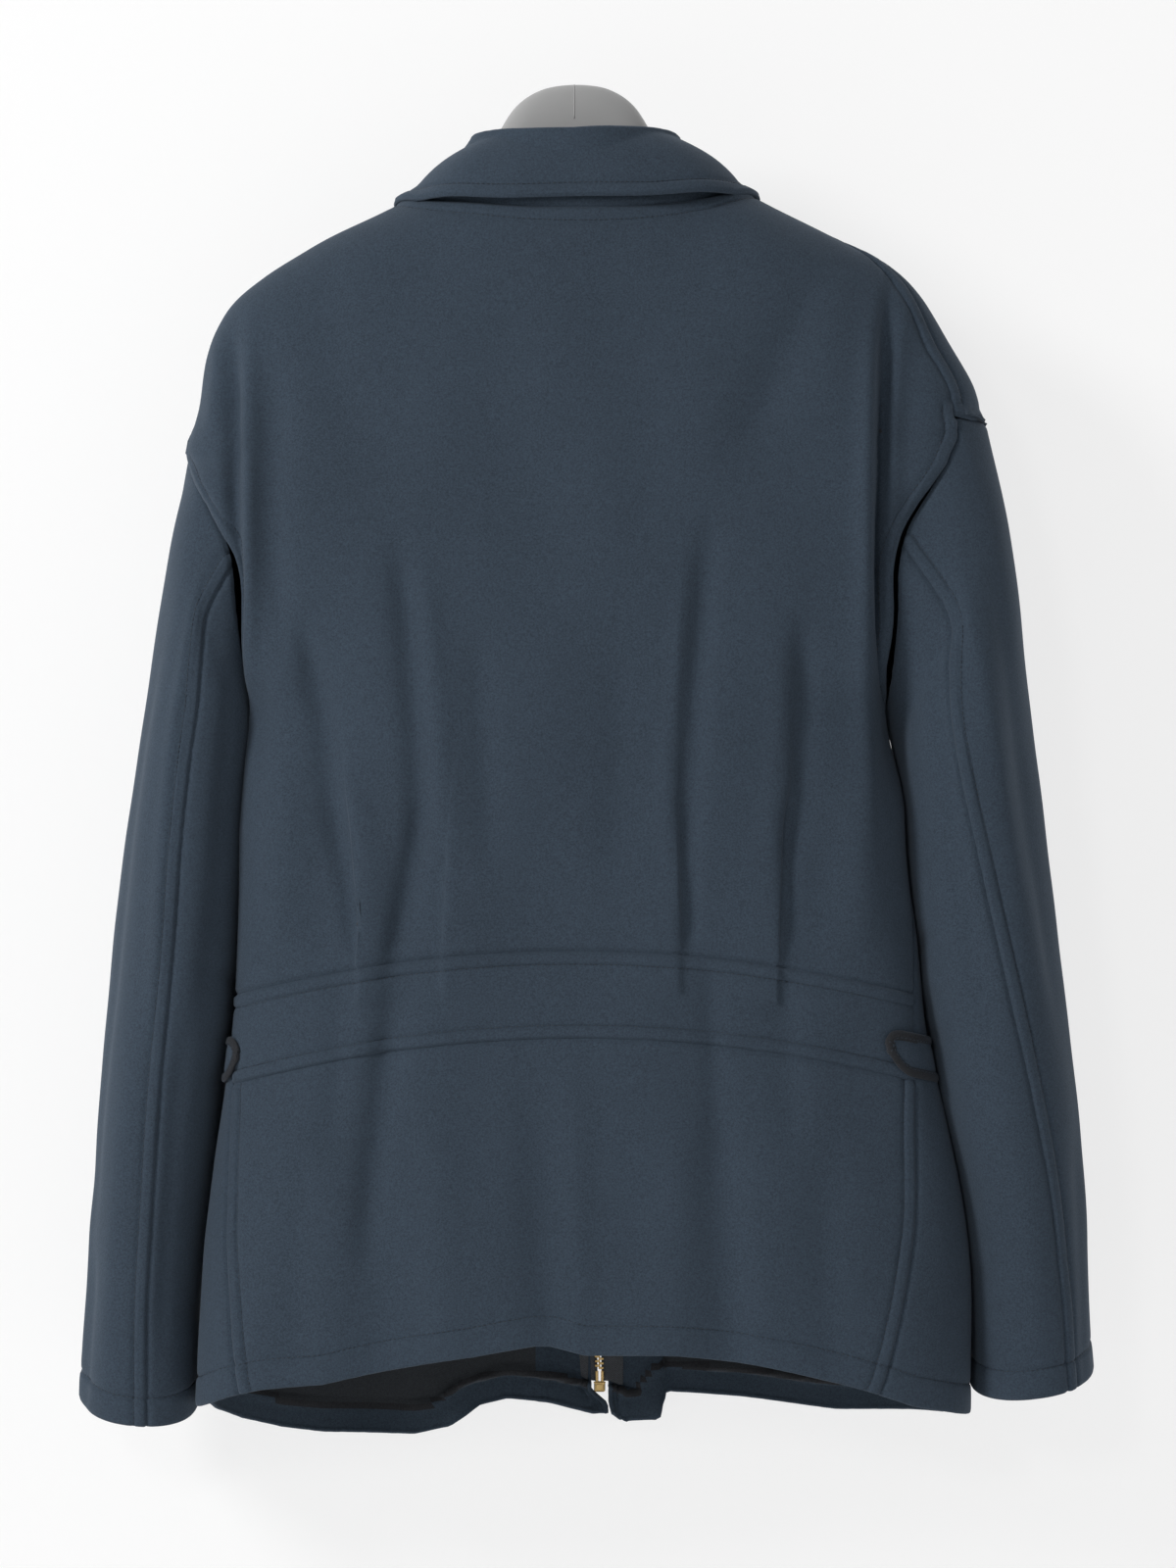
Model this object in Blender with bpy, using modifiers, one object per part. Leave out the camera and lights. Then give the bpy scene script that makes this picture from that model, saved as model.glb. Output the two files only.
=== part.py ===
"""Knit sport jacket hanging on a broad hanger, as the pieces that a maker cuts and sews.

Run it with: blender --background --python part.py
The viewer sees the jacket's back. Lengths in the tables are millimetres from the top of the
hanger's neck: x to the viewer's right, y away from the viewer, z up. add_mesh() makes them metres.
The torso is a stack of sections, and a height "t" counts along SECTIONS: 0 is the hem. Each section
has a back arc and a front arc, from its left end to its right end. Pieces are cut from these arcs.
"""

import math
from collections import namedtuple
from functools import lru_cache

import bmesh
import bpy
import numpy as np

MM = 0.001
BACK, FRONT = "back", "front"
LEFT, RIGHT = -1, 1

CLOTH_WALL = 1.8
HEM_WALL = 2.8
HEM_TURN = 17
SEAM_GAP = 0.3
BACK_COLUMNS = [5, 1, 3, 1, 6, 1, 3, 1, 5]  # between the seams and the four pleats' folds
PLAIN_COLUMNS = 26
FRONT_COLUMNS = 14
DENSE = 181  # points along an arc before it is cut into columns

# ---------------------------------------------------------------- torso

# square: 2 is an ellipse, more is boxier. tuck: how far the side folds in towards the body.
Section = namedtuple(
    "Section",
    "name left_x left_z right_x right_z end_back end_front back_y back_z front_y front_z"
    " square tuck_left tuck_right",
)
SECTIONS = [
    Section("hem", -230, -803, 243, -807, 0, 0, -74, -768, 77, -816, 2.6, 2, 3),
    Section("skirt", -227, -706, 240, -708, 0, 0, -74, -678, 77, -716, 2.6, 6, 4),
    Section("band_low", -214.5, -611, 222, -611, 0, 0, -72, -580, 76, -614, 2.7, 7, 6.5),
    Section("band_top", -209, -556, 211, -556, 0, 0, -71, -527.5, 75, -558, 2.8, 8, 4),
    Section("waist", -207, -490, 204, -490, 0, 0, -72, -474, 74, -494, 2.9, 13, 6),
    Section("rib", -205, -438, 200, -438, 0, 0, -72, -430, 73, -442, 3.0, 14, 8),
    Section("underarm", -202, -392, 195, -392, 0, 0, -71, -391, 72, -398, 3.0, 12, 7),
    Section("arm_1", -202, -361, 193, -361, -31, 31, -70, -359, 70, -369, 3.0, 5, 2),
    Section("arm_2", -203, -326, 194, -328, -44, 43, -69, -326, 68, -338, 3.0, 1, 0),
    Section("arm_3", -207, -290, 196, -294, -48, 45, -67, -293, 66, -308, 3.0, 0, 0),
    Section("arm_4", -218, -263, 206, -264, -42, 41, -65, -264, 64, -282, 3.0, 0, 0),
    Section("arm_5", -228, -245, 229, -233, -31, 31, -63, -245, 62, -263, 3.0, 0, 0),
    Section("cap", -235, -227, 251, -210, 0, 0, -62, -228, 61, -247, 3.0, 0, 0),
    Section("tip", -234, -219, 250, -203, 0, 0, -61, -217, 60, -239, 3.0, 0, 0),
    Section("tip_1", -228, -199, 245, -184, 0, 0, -60, -201, 58, -227, 3.0, 0, 0),
    Section("tip_2", -223, -167, 232, -161, 0, 0, -58, -180, 57, -211, 3.0, 0, 0),
    Section("tip_3", -211, -138, 213, -131, 0, 0, -57, -160, 56, -195, 3.0, 0, 0),
    Section("shoulder_1", -190, -118, 191, -111, 0, 0, -55, -141, 54, -179, 3.0, 0, 0),
    Section("shoulder_2", -162, -102, 163, -96, 0, 0, -54, -121, 53, -162, 2.9, 0, 0),
    Section("shoulder_3", -132, -86, 133, -81, 0, 0, -52, -101, 52, -143, 2.6, 0, 0),
    Section("neck", -103, -71, 104, -67, 0, 0, -50, -80, 50, -122, 2.2, 0, 0),
]
TUCK_REACH = 28  # how far along y a side tuck spreads
BACK_FLATTER = 1.3  # added to square for the back, from this many sections under the underarm down
BACK_FLATTER_FROM = 1.5

# How far the side seam, and then the shoulder seam, lies round on the back of each section. The
# armhole's opening closes between cap, its top, and tip, where the shoulder seam meets it.
SeamShift = namedtuple("SeamShift", "name left right plus", defaults=[0.0])  # plus: part above it
SIDE_SEAM = [
    SeamShift("hem", 72, 105),
    SeamShift("skirt", 56, 78),
    SeamShift("band_low", 44, 56),
    SeamShift("band_top", 24, 42),
    SeamShift("waist", 14, 30),
    SeamShift("rib", 8, 16),
    SeamShift("underarm", 0, 0),
]
SHOULDER_SEAM = [
    SeamShift("arm_4", 0, 0),
    SeamShift("arm_5", 0, 13),
    SeamShift("arm_5", 0, 29, 0.5),
    SeamShift("cap", 0, 47),
    SeamShift("tip", 0, 45),
    SeamShift("tip_2", 0, 42),
    SeamShift("tip_3", 0, 36),
    SeamShift("shoulder_1", 0, 26),
    SeamShift("shoulder_2", 0, 8),
    SeamShift("shoulder_3", 0, 0),
    SeamShift("neck", 0, 0),
]

# A knife pleat runs up from the waistband. Its fold faces the side seam and drops by height.
Pleat = namedtuple("Pleat", "low_x high_x high_z height")
PLEATS = [
    Pleat(-130, -139, -395, 4.5),
    Pleat(-79, -71, -405, 4.0),
    Pleat(64, 62, -405, 4.0),
    Pleat(123, 131, -395, 4.5),
]
PLEAT_RUN = 42  # the pleat's cloth rises over this width, towards the middle of the back
PLEAT_FOLD = 1.4  # width of the fold's steep side
CHEST_HALF_WIDTH = 200

# A soft fold is a ridge, or a trough where its height is below 0, along a line down the cloth.
Fold = namedtuple("Fold", "face top_x top_z low_x low_z width height at_top at_low")
FOLDS = [
    Fold(BACK, -92, -450, -110, -600, 15, -3.0, 0.0, 0.6),
    Fold(BACK, -112, -580, -120, -790, 20, -4.0, 0.6, 1.0),
    Fold(BACK, 2, -600, 6, -780, 24, -3.0, 0.0, 1.0),
    Fold(BACK, 78, -590, 92, -790, 20, -4.0, 0.3, 1.0),
    Fold(BACK, -146, -300, -152, -540, 16, -2.5, 0.0, 0.8),
    Fold(BACK, 146, -300, 142, -540, 16, -2.5, 0.0, 0.8),
    Fold(BACK, -176, -300, -178, -520, 12, 3.5, 0.2, 0.4),
    Fold(BACK, 170, -300, 172, -520, 12, 3.5, 0.2, 0.4),
    Fold(FRONT, -62, -640, -68, -830, 14, -7.0, 0.0, 1.0),
    Fold(FRONT, 52, -640, 56, -830, 13, -7.0, 0.0, 1.0),
    Fold(FRONT, -120, -560, -126, -830, 24, 4.0, 0.0, 1.0),
    Fold(FRONT, 120, -560, 118, -830, 24, 4.0, 0.0, 1.0),
    Fold(FRONT, -150, -290, -140, -520, 20, -4.0, 0.0, 0.2),
    Fold(FRONT, 146, -290, 136, -520, 20, -4.0, 0.0, 0.2),
]

# How much lower than its section the hem hangs at each x. It fades out at the section above.
HemDrop = namedtuple("HemDrop", "face x drop")
HEM_DROPS = [
    HemDrop(FRONT, -230, 3),
    HemDrop(FRONT, -224, 9),
    HemDrop(FRONT, -208, 15),
    HemDrop(FRONT, -182, 20),
    HemDrop(FRONT, -157, 22),
    HemDrop(FRONT, -100, 21),
    HemDrop(FRONT, -78, 15),
    HemDrop(FRONT, -60, 1),
    HemDrop(FRONT, -42, -3),
    HemDrop(FRONT, -16, -1),
    HemDrop(FRONT, 12, 6),
    HemDrop(FRONT, 22, 6),
    HemDrop(FRONT, 29, 11),
    HemDrop(FRONT, 53, 9),
    HemDrop(FRONT, 58, -8),
    HemDrop(FRONT, 103, -3),
    HemDrop(FRONT, 164, 6),
    HemDrop(FRONT, 212, 7),
    HemDrop(FRONT, 230, 8),
    HemDrop(FRONT, 241, 3),
    HemDrop(BACK, -230, 2),
    HemDrop(BACK, -208, -1.5),
    HemDrop(BACK, -188, -1.5),
    HemDrop(BACK, -151, 3),
    HemDrop(BACK, -110, 1),
    HemDrop(BACK, -60, -1.5),
    HemDrop(BACK, -18, -6),
    HemDrop(BACK, 8, 1.5),
    HemDrop(BACK, 62, -1),
    HemDrop(BACK, 115, 0),
    HemDrop(BACK, 171, 2.5),
    HemDrop(BACK, 204, 5.5),
    HemDrop(BACK, 243, 2),
]

# ---------------------------------------------------------------- sleeves

# outer and inner are the ends of the oval's long way; dip lowers its back; seam is where the back
# seam lies, from 0 at the outer end to 1 at the inner end.
SleeveRing = namedtuple("SleeveRing", "outer_x outer_z inner_x inner_z mid_y half_depth dip seam")
SLEEVE_LEFT = [
    SleeveRing(-242, -262, -193, -401, 1, 53, 0, 0.46),
    SleeveRing(-249, -296, -194, -412, 3, 60, 0, 0.48),
    SleeveRing(-256, -334, -195, -428, 5, 65, 0, 0.50),
    SleeveRing(-264, -384, -197, -452, 6, 68, 0, 0.50),
    SleeveRing(-272, -444, -199, -490, 6, 68, 0, 0.50),
    SleeveRing(-281, -520, -203, -542, 6, 66, 0, 0.51),
    SleeveRing(-290, -608, -213, -612, 6, 62, 0, 0.52),
    SleeveRing(-294, -676, -221, -676, 6, 57, 0, 0.53),
    SleeveRing(-298, -740, -228, -740, 8, 51, -4, 0.54),
    SleeveRing(-303, -800, -230, -806, 12, 46, -13, 0.56),
]
SLEEVE_RIGHT = [
    SleeveRing(259, -240, 193, -401, -1, 53, 0, 0.52),
    SleeveRing(266, -276, 195, -411, 0, 60, 0, 0.56),
    SleeveRing(272, -320, 197, -424, 0, 65, 0, 0.58),
    SleeveRing(277, -374, 200, -446, 0, 68, 0, 0.56),
    SleeveRing(285, -440, 202, -484, 0, 68, 0, 0.52),
    SleeveRing(296, -526, 210, -546, -2, 66, 0, 0.48),
    SleeveRing(306, -610, 221, -612, -4, 62, 0, 0.44),
    SleeveRing(310, -676, 234, -674, -4, 56, 0, 0.40),
    SleeveRing(313, -736, 241, -732, -2, 51, -2, 0.37),
    SleeveRing(317, -784, 242, -794, 0, 46, -9, 0.35),
]
SLEEVE_SQUARE = 2.2
INNER_SEAM = 0.86  # where the hidden second seam lies on the sleeve's front
SLEEVE_AROUND = 48  # dense points round half a sleeve
UPPER_COLUMNS = 12
UNDER_COLUMNS = 8
CUT_EASE = 2.5
ARMHOLE_EASE = 1.2  # how far below the armhole's edge the sleeve starts

# ---------------------------------------------------------------- collar

# From the middle of the back round to the front end: the fold line at the top, then the fall's edge.
CollarSpoke = namedtuple("CollarSpoke", "fold_x fold_y fold_z edge_x edge_y edge_z")
COLLAR = [
    CollarSpoke(0, -43, -35, 0, -57, -74),
    CollarSpoke(28, -41, -34, 44, -56, -74),
    CollarSpoke(50, -30, -33, 84, -44, -71),
    CollarSpoke(63, -6, -37, 107, -8, -74),
    CollarSpoke(61, 16, -47, 106, 28, -92),
    CollarSpoke(48, 32, -62, 96, 52, -128),
    CollarSpoke(28, 42, -78, 74, 64, -158),
    CollarSpoke(8, 47, -90, 46, 70, -180),
]
COLLAR_BULGE = 5  # how far the fall rounds out between fold and edge
COLLAR_TILT = 0.018  # the right side hangs higher, in mm for each mm of x
COLLAR_COLUMNS = 15
FALL_EASE = 2.2
STAND_EASE = 0.8
STAND_HOLLOW = 2.0
COLLAR_FRONT_GAP = 1.5

# ---------------------------------------------------------------- zip and tabs

ZIP_TOP_X, ZIP_TOP_Z = 4, -122
ZIP_LOW_X, ZIP_LOW_Z = 16, -816
FRONT_EDGE = 5.5  # from the zip's middle to the edge of each front
CHAIN_WIDTH = 5.6
CHAIN_THICK = 2.4
TAPE_REACH = 15
TAPE_WALL = 0.9
CHAIN_LIFT = -1.0
CHAIN_LIFT_MIDDLE = 2.2
CHAIN_LOW_T = 0.32
TAPE_LOW_T = 0.245
BOX_TOP_Z = -802.5
BOX_SIZE = (7.0, 3.4, 6.6)
PIN_SIZE = (1.9, 1.8, 7.2)
PIN_OFFSET = 1.4

TAB_T = 2.26  # the height of the tabs' middle, on the lower half of the band
TAB_HEIGHT = 28
TAB_ROUND = 14
TAB_START = 10  # how far round on the front the tab begins
TAB_WALL = 2.2
TAB_EASE = 0.45
Tab = namedtuple("Tab", "side reach")  # reach: from the ring's side end to the tab's tip
TABS = [Tab(LEFT, 50), Tab(RIGHT, 74)]

SLIDER_Z = -131
SLIDER_SIZE = (8.6, 4.6, 11.0)
SLIDER_FACE = 4.1  # its outer face, from the cloth's outer side
BRIDGE_SIZE = (2.2, 5.6, 5.2)
BRIDGE_SINK = 0.5
EYE = 3.0
PULL_LIFT = 2.4  # from the slider's outer face to the pull's axis
PULL_SIZE = (6.0, 1.6, 27.0)
PULL_BAR = 1.6
PULL_HOLE = (3.4, 4.6)

# ---------------------------------------------------------------- hanger

HangerRib = namedtuple("HangerRib", "x top depth height")
HANGER = [
    HangerRib(0, 0.0, 38, 74),
    HangerRib(10, -0.6, 38, 73),
    HangerRib(20, -2.8, 38, 71),
    HangerRib(30, -8.0, 38, 66),
    HangerRib(38, -15.5, 37, 60),
    HangerRib(45, -26.5, 35, 52),
    HangerRib(52, -39.0, 33, 44),
    HangerRib(64, -53.0, 32, 38),
    HangerRib(82, -67.0, 33, 34),
    HangerRib(106, -78.0, 38, 34),
    HangerRib(134, -88.0, 46, 35),
    HangerRib(162, -102.5, 48, 36),
    HangerRib(184, -115.0, 51, 36),
    HangerRib(196, -124.0, 48, 30),
    HangerRib(201, -133.0, 34, 16),
]
HANGER_TILT = 0.018
HANGER_AROUND = 14
HANGER_ARM_X = 100
HANGER_EASE = 1.0
HANGER_SQUARE = 2.4

CLOTH_COLOUR = (0.042, 0.061, 0.086, 1)
TAPE_COLOUR = (0.045, 0.045, 0.048, 1)
BRASS_COLOUR = (0.52, 0.36, 0.14, 1)
HANGER_COLOUR = (0.24, 0.24, 0.24, 1)


# ---------------------------------------------------------------- reading the tables


def height(name):
    return [section.name for section in SECTIONS].index(name)


def smooth_row(rows, at):
    """The table row at a fractional place, on a smooth curve through the rows (Catmull-Rom)."""
    last = len(rows) - 1
    at = min(max(at, 0.0), float(last))
    low = min(int(at), last - 1)
    part = at - low
    before, start, end, after = (
        np.array(rows[min(max(low + step, 0), last)], float) for step in (-1, 0, 1, 2)
    )
    slope_in, slope_out = (end - before) / 2, (after - start) / 2
    square, cube = part * part, part**3
    return (
        (2 * cube - 3 * square + 1) * start
        + (cube - 2 * square + part) * slope_in
        + (3 * square - 2 * cube) * end
        + (cube - square) * slope_out
    )


@lru_cache(maxsize=None)
def section(t):
    numbers = [row[1:] for row in SECTIONS]
    found = Section("", *smooth_row(numbers, t))
    if t <= height("underarm") or t >= height("cap"):
        return found._replace(end_back=0.0, end_front=0.0)
    return found


def seam_shift(side, t):
    """How far from the ring's side end the back piece stops at this height."""
    for table in (SIDE_SEAM, SHOULDER_SEAM):
        levels = [height(row.name) + row.plus for row in table]
        if levels[0] <= t <= levels[-1]:
            shifts = [row.left if side == LEFT else row.right for row in table]
            return float(np.interp(t, levels, shifts))
    return 0.0


def front_shift(side, t):
    """How far round on the back the front piece reaches. It differs only where the armhole opens."""
    share = (t - height("cap")) / (height("tip") - height("cap"))
    if t < height("cap") and t > height("underarm"):
        return 0.0
    return seam_shift(side, t) * min(share, 1.0) if share >= 0 else seam_shift(side, t)


def beyond(t, distance):
    """The height that lies this many millimetres further up the middle of the back."""
    step = 0.02
    rise = (section(t + step).back_z - section(t - step).back_z) / (2 * step)
    return t + distance / rise


# ---------------------------------------------------------------- torso surface


def soft_step(value):
    value = np.clip(value, 0, 1)
    return value * value * (3 - 2 * value)


def fold_relief(face, x, z):
    """How far the soft folds stand out from the plain section."""
    out = np.zeros_like(x)
    for fold in FOLDS:
        if fold.face != face:
            continue
        along = (z - fold.low_z) / (fold.top_z - fold.low_z)
        line = fold.low_x + (fold.top_x - fold.low_x) * along
        inside = soft_step(along / 0.12 + 0.5) * soft_step((1 - along) / 0.12 + 0.5)
        strength = np.interp(along, [0, 0.3, 0.7, 1], [fold.at_low, 1, 1, fold.at_top])
        out += fold.height * strength * inside * np.exp(-(((x - line) / fold.width) ** 2))
    return out


def pleat_x(pleat, t):
    """Where the pleat's fold lies at this height, drawn in with the narrower upper sections."""
    here = section(t)
    band_z = section(height("band_top")).back_z
    share = np.clip((here.back_z - band_z) / (pleat.high_z - band_z), 0, 1)
    half_width = (here.right_x - here.left_x) / 2
    line = pleat.low_x + (pleat.high_x - pleat.low_x) * share
    return line * min(1.0, half_width / CHEST_HALF_WIDTH)


def pleat_relief(t, x, z):
    out = np.zeros_like(x)
    band_z = section(height("band_top")).back_z
    for pleat in PLEATS:
        edge = pleat_x(pleat, t)
        inward = (edge - x) * math.copysign(1, edge)
        rise = np.clip((z - band_z) / (pleat.high_z - band_z), 0, 1)
        strength = np.interp(rise, [0, 0.15, 0.5, 1], [0.6, 1, 0.6, 0])
        slope = np.clip(1 - inward / PLEAT_RUN, 0, 1) ** 1.5
        fold = np.clip(inward / PLEAT_FOLD + 1, 0, 1)
        out += pleat.height * strength * slope * fold
    return out


def plain_arc(face, t):
    """The section's arc from its left end to its right end, with no folds."""
    s = section(t)
    turn = np.linspace(-math.pi / 2, math.pi / 2, DENSE)
    square = s.square
    if face == BACK:
        square += BACK_FLATTER * float(soft_step((height("underarm") - t) / BACK_FLATTER_FROM))
    across = np.sign(turn) * np.abs(np.sin(turn)) ** (2 / square)
    deep = np.abs(np.cos(turn)) ** (2 / square)
    end_y, mid_y, mid_z = s.end_back, s.back_y, s.back_z
    if face == FRONT:
        end_y, mid_y, mid_z = s.end_front, s.front_y, s.front_z
    share = (across + 1) / 2
    y = end_y + (mid_y - end_y) * deep
    z = s.left_z + (s.right_z - s.left_z) * share
    z += (mid_z - z) * (1 - across**2)
    if t < 1:
        drops = [row for row in HEM_DROPS if row.face == face]
        lower = np.interp(
            s.left_x + (s.right_x - s.left_x) * share,
            [row.x for row in drops],
            [row.drop for row in drops],
        )
        z -= lower * (1 - t) ** 2
    tuck = np.exp(-(((y - end_y) / TUCK_REACH) ** 2))
    x = s.left_x + (s.right_x - s.left_x) * share
    x += np.where(across < 0, s.tuck_left, -s.tuck_right) * tuck
    return np.stack([x, y, z], axis=1)


def folded_arc(face, t):
    """The arc with its folds, moved out level along the plain arc's own normals."""
    points = plain_arc(face, t)
    along = np.gradient(points, axis=0)
    out = np.stack([along[:, 1], -along[:, 0], np.zeros(DENSE)], axis=1)
    if face == FRONT:
        out = -out
    out /= np.maximum(np.linalg.norm(out, axis=1, keepdims=True), 1e-6)
    relief = fold_relief(face, points[:, 0], points[:, 2])
    if face == BACK and t >= height("band_top") - 0.5:
        relief += pleat_relief(t, points[:, 0], points[:, 2])
    return points + out * relief[:, None]


@lru_cache(maxsize=None)
def arc(face, t):
    """Dense points of the arc and the cloth's outward normals there."""
    step = 0.05
    points = folded_arc(face, t)
    up = folded_arc(face, min(t + step, len(SECTIONS) - 1)) - folded_arc(face, max(t - step, 0))
    along = np.gradient(points, axis=0)
    normals = np.cross(along, up)
    if face == FRONT:
        normals = -normals
    return points, unit(normals)


def unit(vectors):
    return vectors / np.maximum(np.linalg.norm(vectors, axis=-1, keepdims=True), 1e-9)


def lengths_along(points):
    steps = np.linalg.norm(np.diff(points, axis=0), axis=1)
    return np.concatenate([[0.0], np.cumsum(steps)])


def sample(values, lengths, stations):
    """Rows of values at these lengths along the line."""
    return np.stack([np.interp(stations, lengths, column) for column in values.T], axis=1)


def length_at_x(points, lengths, x):
    """Where an arc that runs from left to right passes this x."""
    order = np.maximum.accumulate(points[:, 0])
    return float(np.interp(x, order, lengths))


def spread(anchors, counts):
    """Places from each anchor to the next, in equal steps."""
    parts = [
        np.linspace(start, end, count, endpoint=False)
        for start, end, count in zip(anchors, anchors[1:], counts)
    ]
    return np.concatenate(parts + [[anchors[-1]]])


# ---------------------------------------------------------------- rows of the torso's pieces


def back_row(t, anchors_x, counts):
    """Points and normals across the back, from seam to seam, with columns held at anchors_x."""
    points, normals = arc(BACK, t)
    lengths = lengths_along(points)
    start = seam_shift(LEFT, t) + SEAM_GAP / 2
    end = lengths[-1] - seam_shift(RIGHT, t) - SEAM_GAP / 2
    held = [length_at_x(points, lengths, x) for x in anchors_x]
    stations = spread([start, *held, end], counts)
    return sample(points, lengths, stations), sample(normals, lengths, stations)


def pleated_row(t):
    anchors = []
    for pleat in PLEATS:
        edge = pleat_x(pleat, t)
        foot = edge + math.copysign(PLEAT_FOLD, edge)
        anchors += sorted([edge, foot])
    return back_row(t, anchors, BACK_COLUMNS)


def plain_back_row(t):
    return back_row(t, [], [PLAIN_COLUMNS])


def zip_x(t):
    """The zip's middle runs straight from the neck to the hem."""
    z = section(t).front_z
    return float(np.interp(z, [ZIP_LOW_Z, ZIP_TOP_Z], [ZIP_LOW_X, ZIP_TOP_X]))


def front_row(side, t, columns):
    """Across one front, with the strip that lies round on the back. It runs anticlockwise."""
    front, front_normals = (values[::-1] for values in arc(FRONT, t))
    back, back_normals = arc(BACK, t)
    back_lengths = lengths_along(back)
    shift = front_shift(side, t)
    middle = zip_x(t) + side * FRONT_EDGE
    keep = front[:, 0] * side > middle * side
    if side == RIGHT:
        strip = back_lengths > back_lengths[-1] - shift
        order = [(back[strip], back_normals[strip]), (front[keep], front_normals[keep])]
    else:
        strip = back_lengths < shift
        order = [(front[keep], front_normals[keep]), (back[strip], back_normals[strip])]
    order = order if shift else [(front[keep], front_normals[keep])]
    points = np.concatenate([part[0] for part in order])
    normals = np.concatenate([part[1] for part in order])
    points, normals = exact_ends(points, normals, side, t, shift, middle)
    lengths = lengths_along(points)
    flat = TAPE_REACH - FRONT_EDGE + 2
    if side == RIGHT:
        stations = spread([0, lengths[-1] - flat, lengths[-1]], [columns - 1, 1])
    else:
        stations = spread([0, flat, lengths[-1]], [1, columns - 1])
    return sample(points, lengths, stations), sample(normals, lengths, stations)


def exact_ends(points, normals, side, t, shift, middle):
    """Adds the front's two true ends, at its seam and at the zip, to the dense points inside."""
    face = BACK if shift else FRONT
    arc_points, arc_normals = arc(face, t)
    lengths = lengths_along(arc_points)
    inset = shift - SEAM_GAP / 2 if shift else SEAM_GAP / 2
    place = inset if side == LEFT else lengths[-1] - inset
    seam = sample(arc_points, lengths, [place]), sample(arc_normals, lengths, [place])
    arc_points, arc_normals = arc(FRONT, t)
    lengths = lengths_along(arc_points)
    place = length_at_x(arc_points, lengths, middle)
    at_zip = sample(arc_points, lengths, [place]), sample(arc_normals, lengths, [place])
    first, last = (seam, at_zip) if side == RIGHT else (at_zip, seam)
    inner = slice(1, -1)
    points = np.concatenate([first[0], points[inner], last[0]])
    normals = np.concatenate([first[1], normals[inner], last[1]])
    return points, normals


def zip_row(side, t, near, far, columns):
    """Along the inside of the front, from near to far millimetres from the zip's middle."""
    points, normals = arc(FRONT, t)
    lengths = lengths_along(points)
    middle = length_at_x(points, lengths, zip_x(t))
    stations = np.sort(middle + side * np.linspace(near, far, columns + 1))[::-1]
    return sample(points, lengths, stations), sample(normals, lengths, stations)


def ring_place(side, t, distance):
    """A point and its normal on the ring, this far from its side end: on the back, or below 0 on
    the front."""
    points, normals = arc(BACK if distance >= 0 else FRONT, t)
    lengths = lengths_along(points)
    place = abs(distance) if side == LEFT else lengths[-1] - abs(distance)
    return sample(points, lengths, [place])[0], sample(normals, lengths, [place])[0]


@lru_cache(maxsize=None)
def shoulder_cloud():
    """Dense points and normals of the torso above the armholes."""
    found = [
        arc(face, float(t))
        for t in np.arange(height("tip") + 1, len(SECTIONS) - 0.99, 0.125)
        for face in (BACK, FRONT)
    ]
    return np.concatenate([f[0] for f in found]), np.concatenate([f[1] for f in found])


def distances_out(points):
    """How far each point lies outside the torso's shoulders, and the way out there."""
    cloud, normals = shoulder_cloud()
    gaps = ((points[:, None, :] - cloud[None, :, :]) ** 2).sum(axis=2)
    nearest = gaps.argmin(axis=1)
    out = normals[nearest]
    return ((points - cloud[nearest]) * out).sum(axis=1), out


def lay_on_shoulders(points, lift):
    """Moves out the points that lie lower than lift over the shoulders."""
    distance, out = distances_out(points)
    return points + out * np.maximum(lift - distance, 0)[:, None]


def keep_under_shoulders(points, depth):
    """Moves in the points that lie less than depth below the shoulders' outer side."""
    distance, out = distances_out(points)
    return points - out * np.maximum(distance + depth, 0)[:, None]


# ---------------------------------------------------------------- meshes


def add_mesh(name, verts, faces, colour, origin=(0, 0, 0)):
    mesh = bpy.data.meshes.new(name)
    origin = np.array(origin, float)
    mesh.from_pydata(((np.asarray(verts) - origin) * MM).tolist(), [], faces)
    mesh.validate()
    return add_object(name, mesh, colour, origin)


def add_object(name, mesh, colour, origin=(0, 0, 0)):
    obj = bpy.data.objects.new(name, mesh)
    obj.location = [value * MM for value in origin]
    parts_collection().objects.link(obj)
    mesh.shade_smooth()
    mesh.materials.append(material(name, colour))
    return obj


def parts_collection():
    name = "knit_sport_jacket"
    found = bpy.data.collections.get(name)
    if found is None:
        found = bpy.data.collections.new(name)
        bpy.context.scene.collection.children.link(found)
    return found


def material(name, colour):
    made = bpy.data.materials.new(name)
    made.use_nodes = True
    shader = made.node_tree.nodes["Principled BSDF"]
    shader.inputs["Base Color"].default_value = colour
    shader.inputs["Roughness"].default_value = 0.35 if colour is BRASS_COLOUR else 0.85
    shader.inputs["Metallic"].default_value = 1.0 if colour is BRASS_COLOUR else 0.0
    return made


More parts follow.
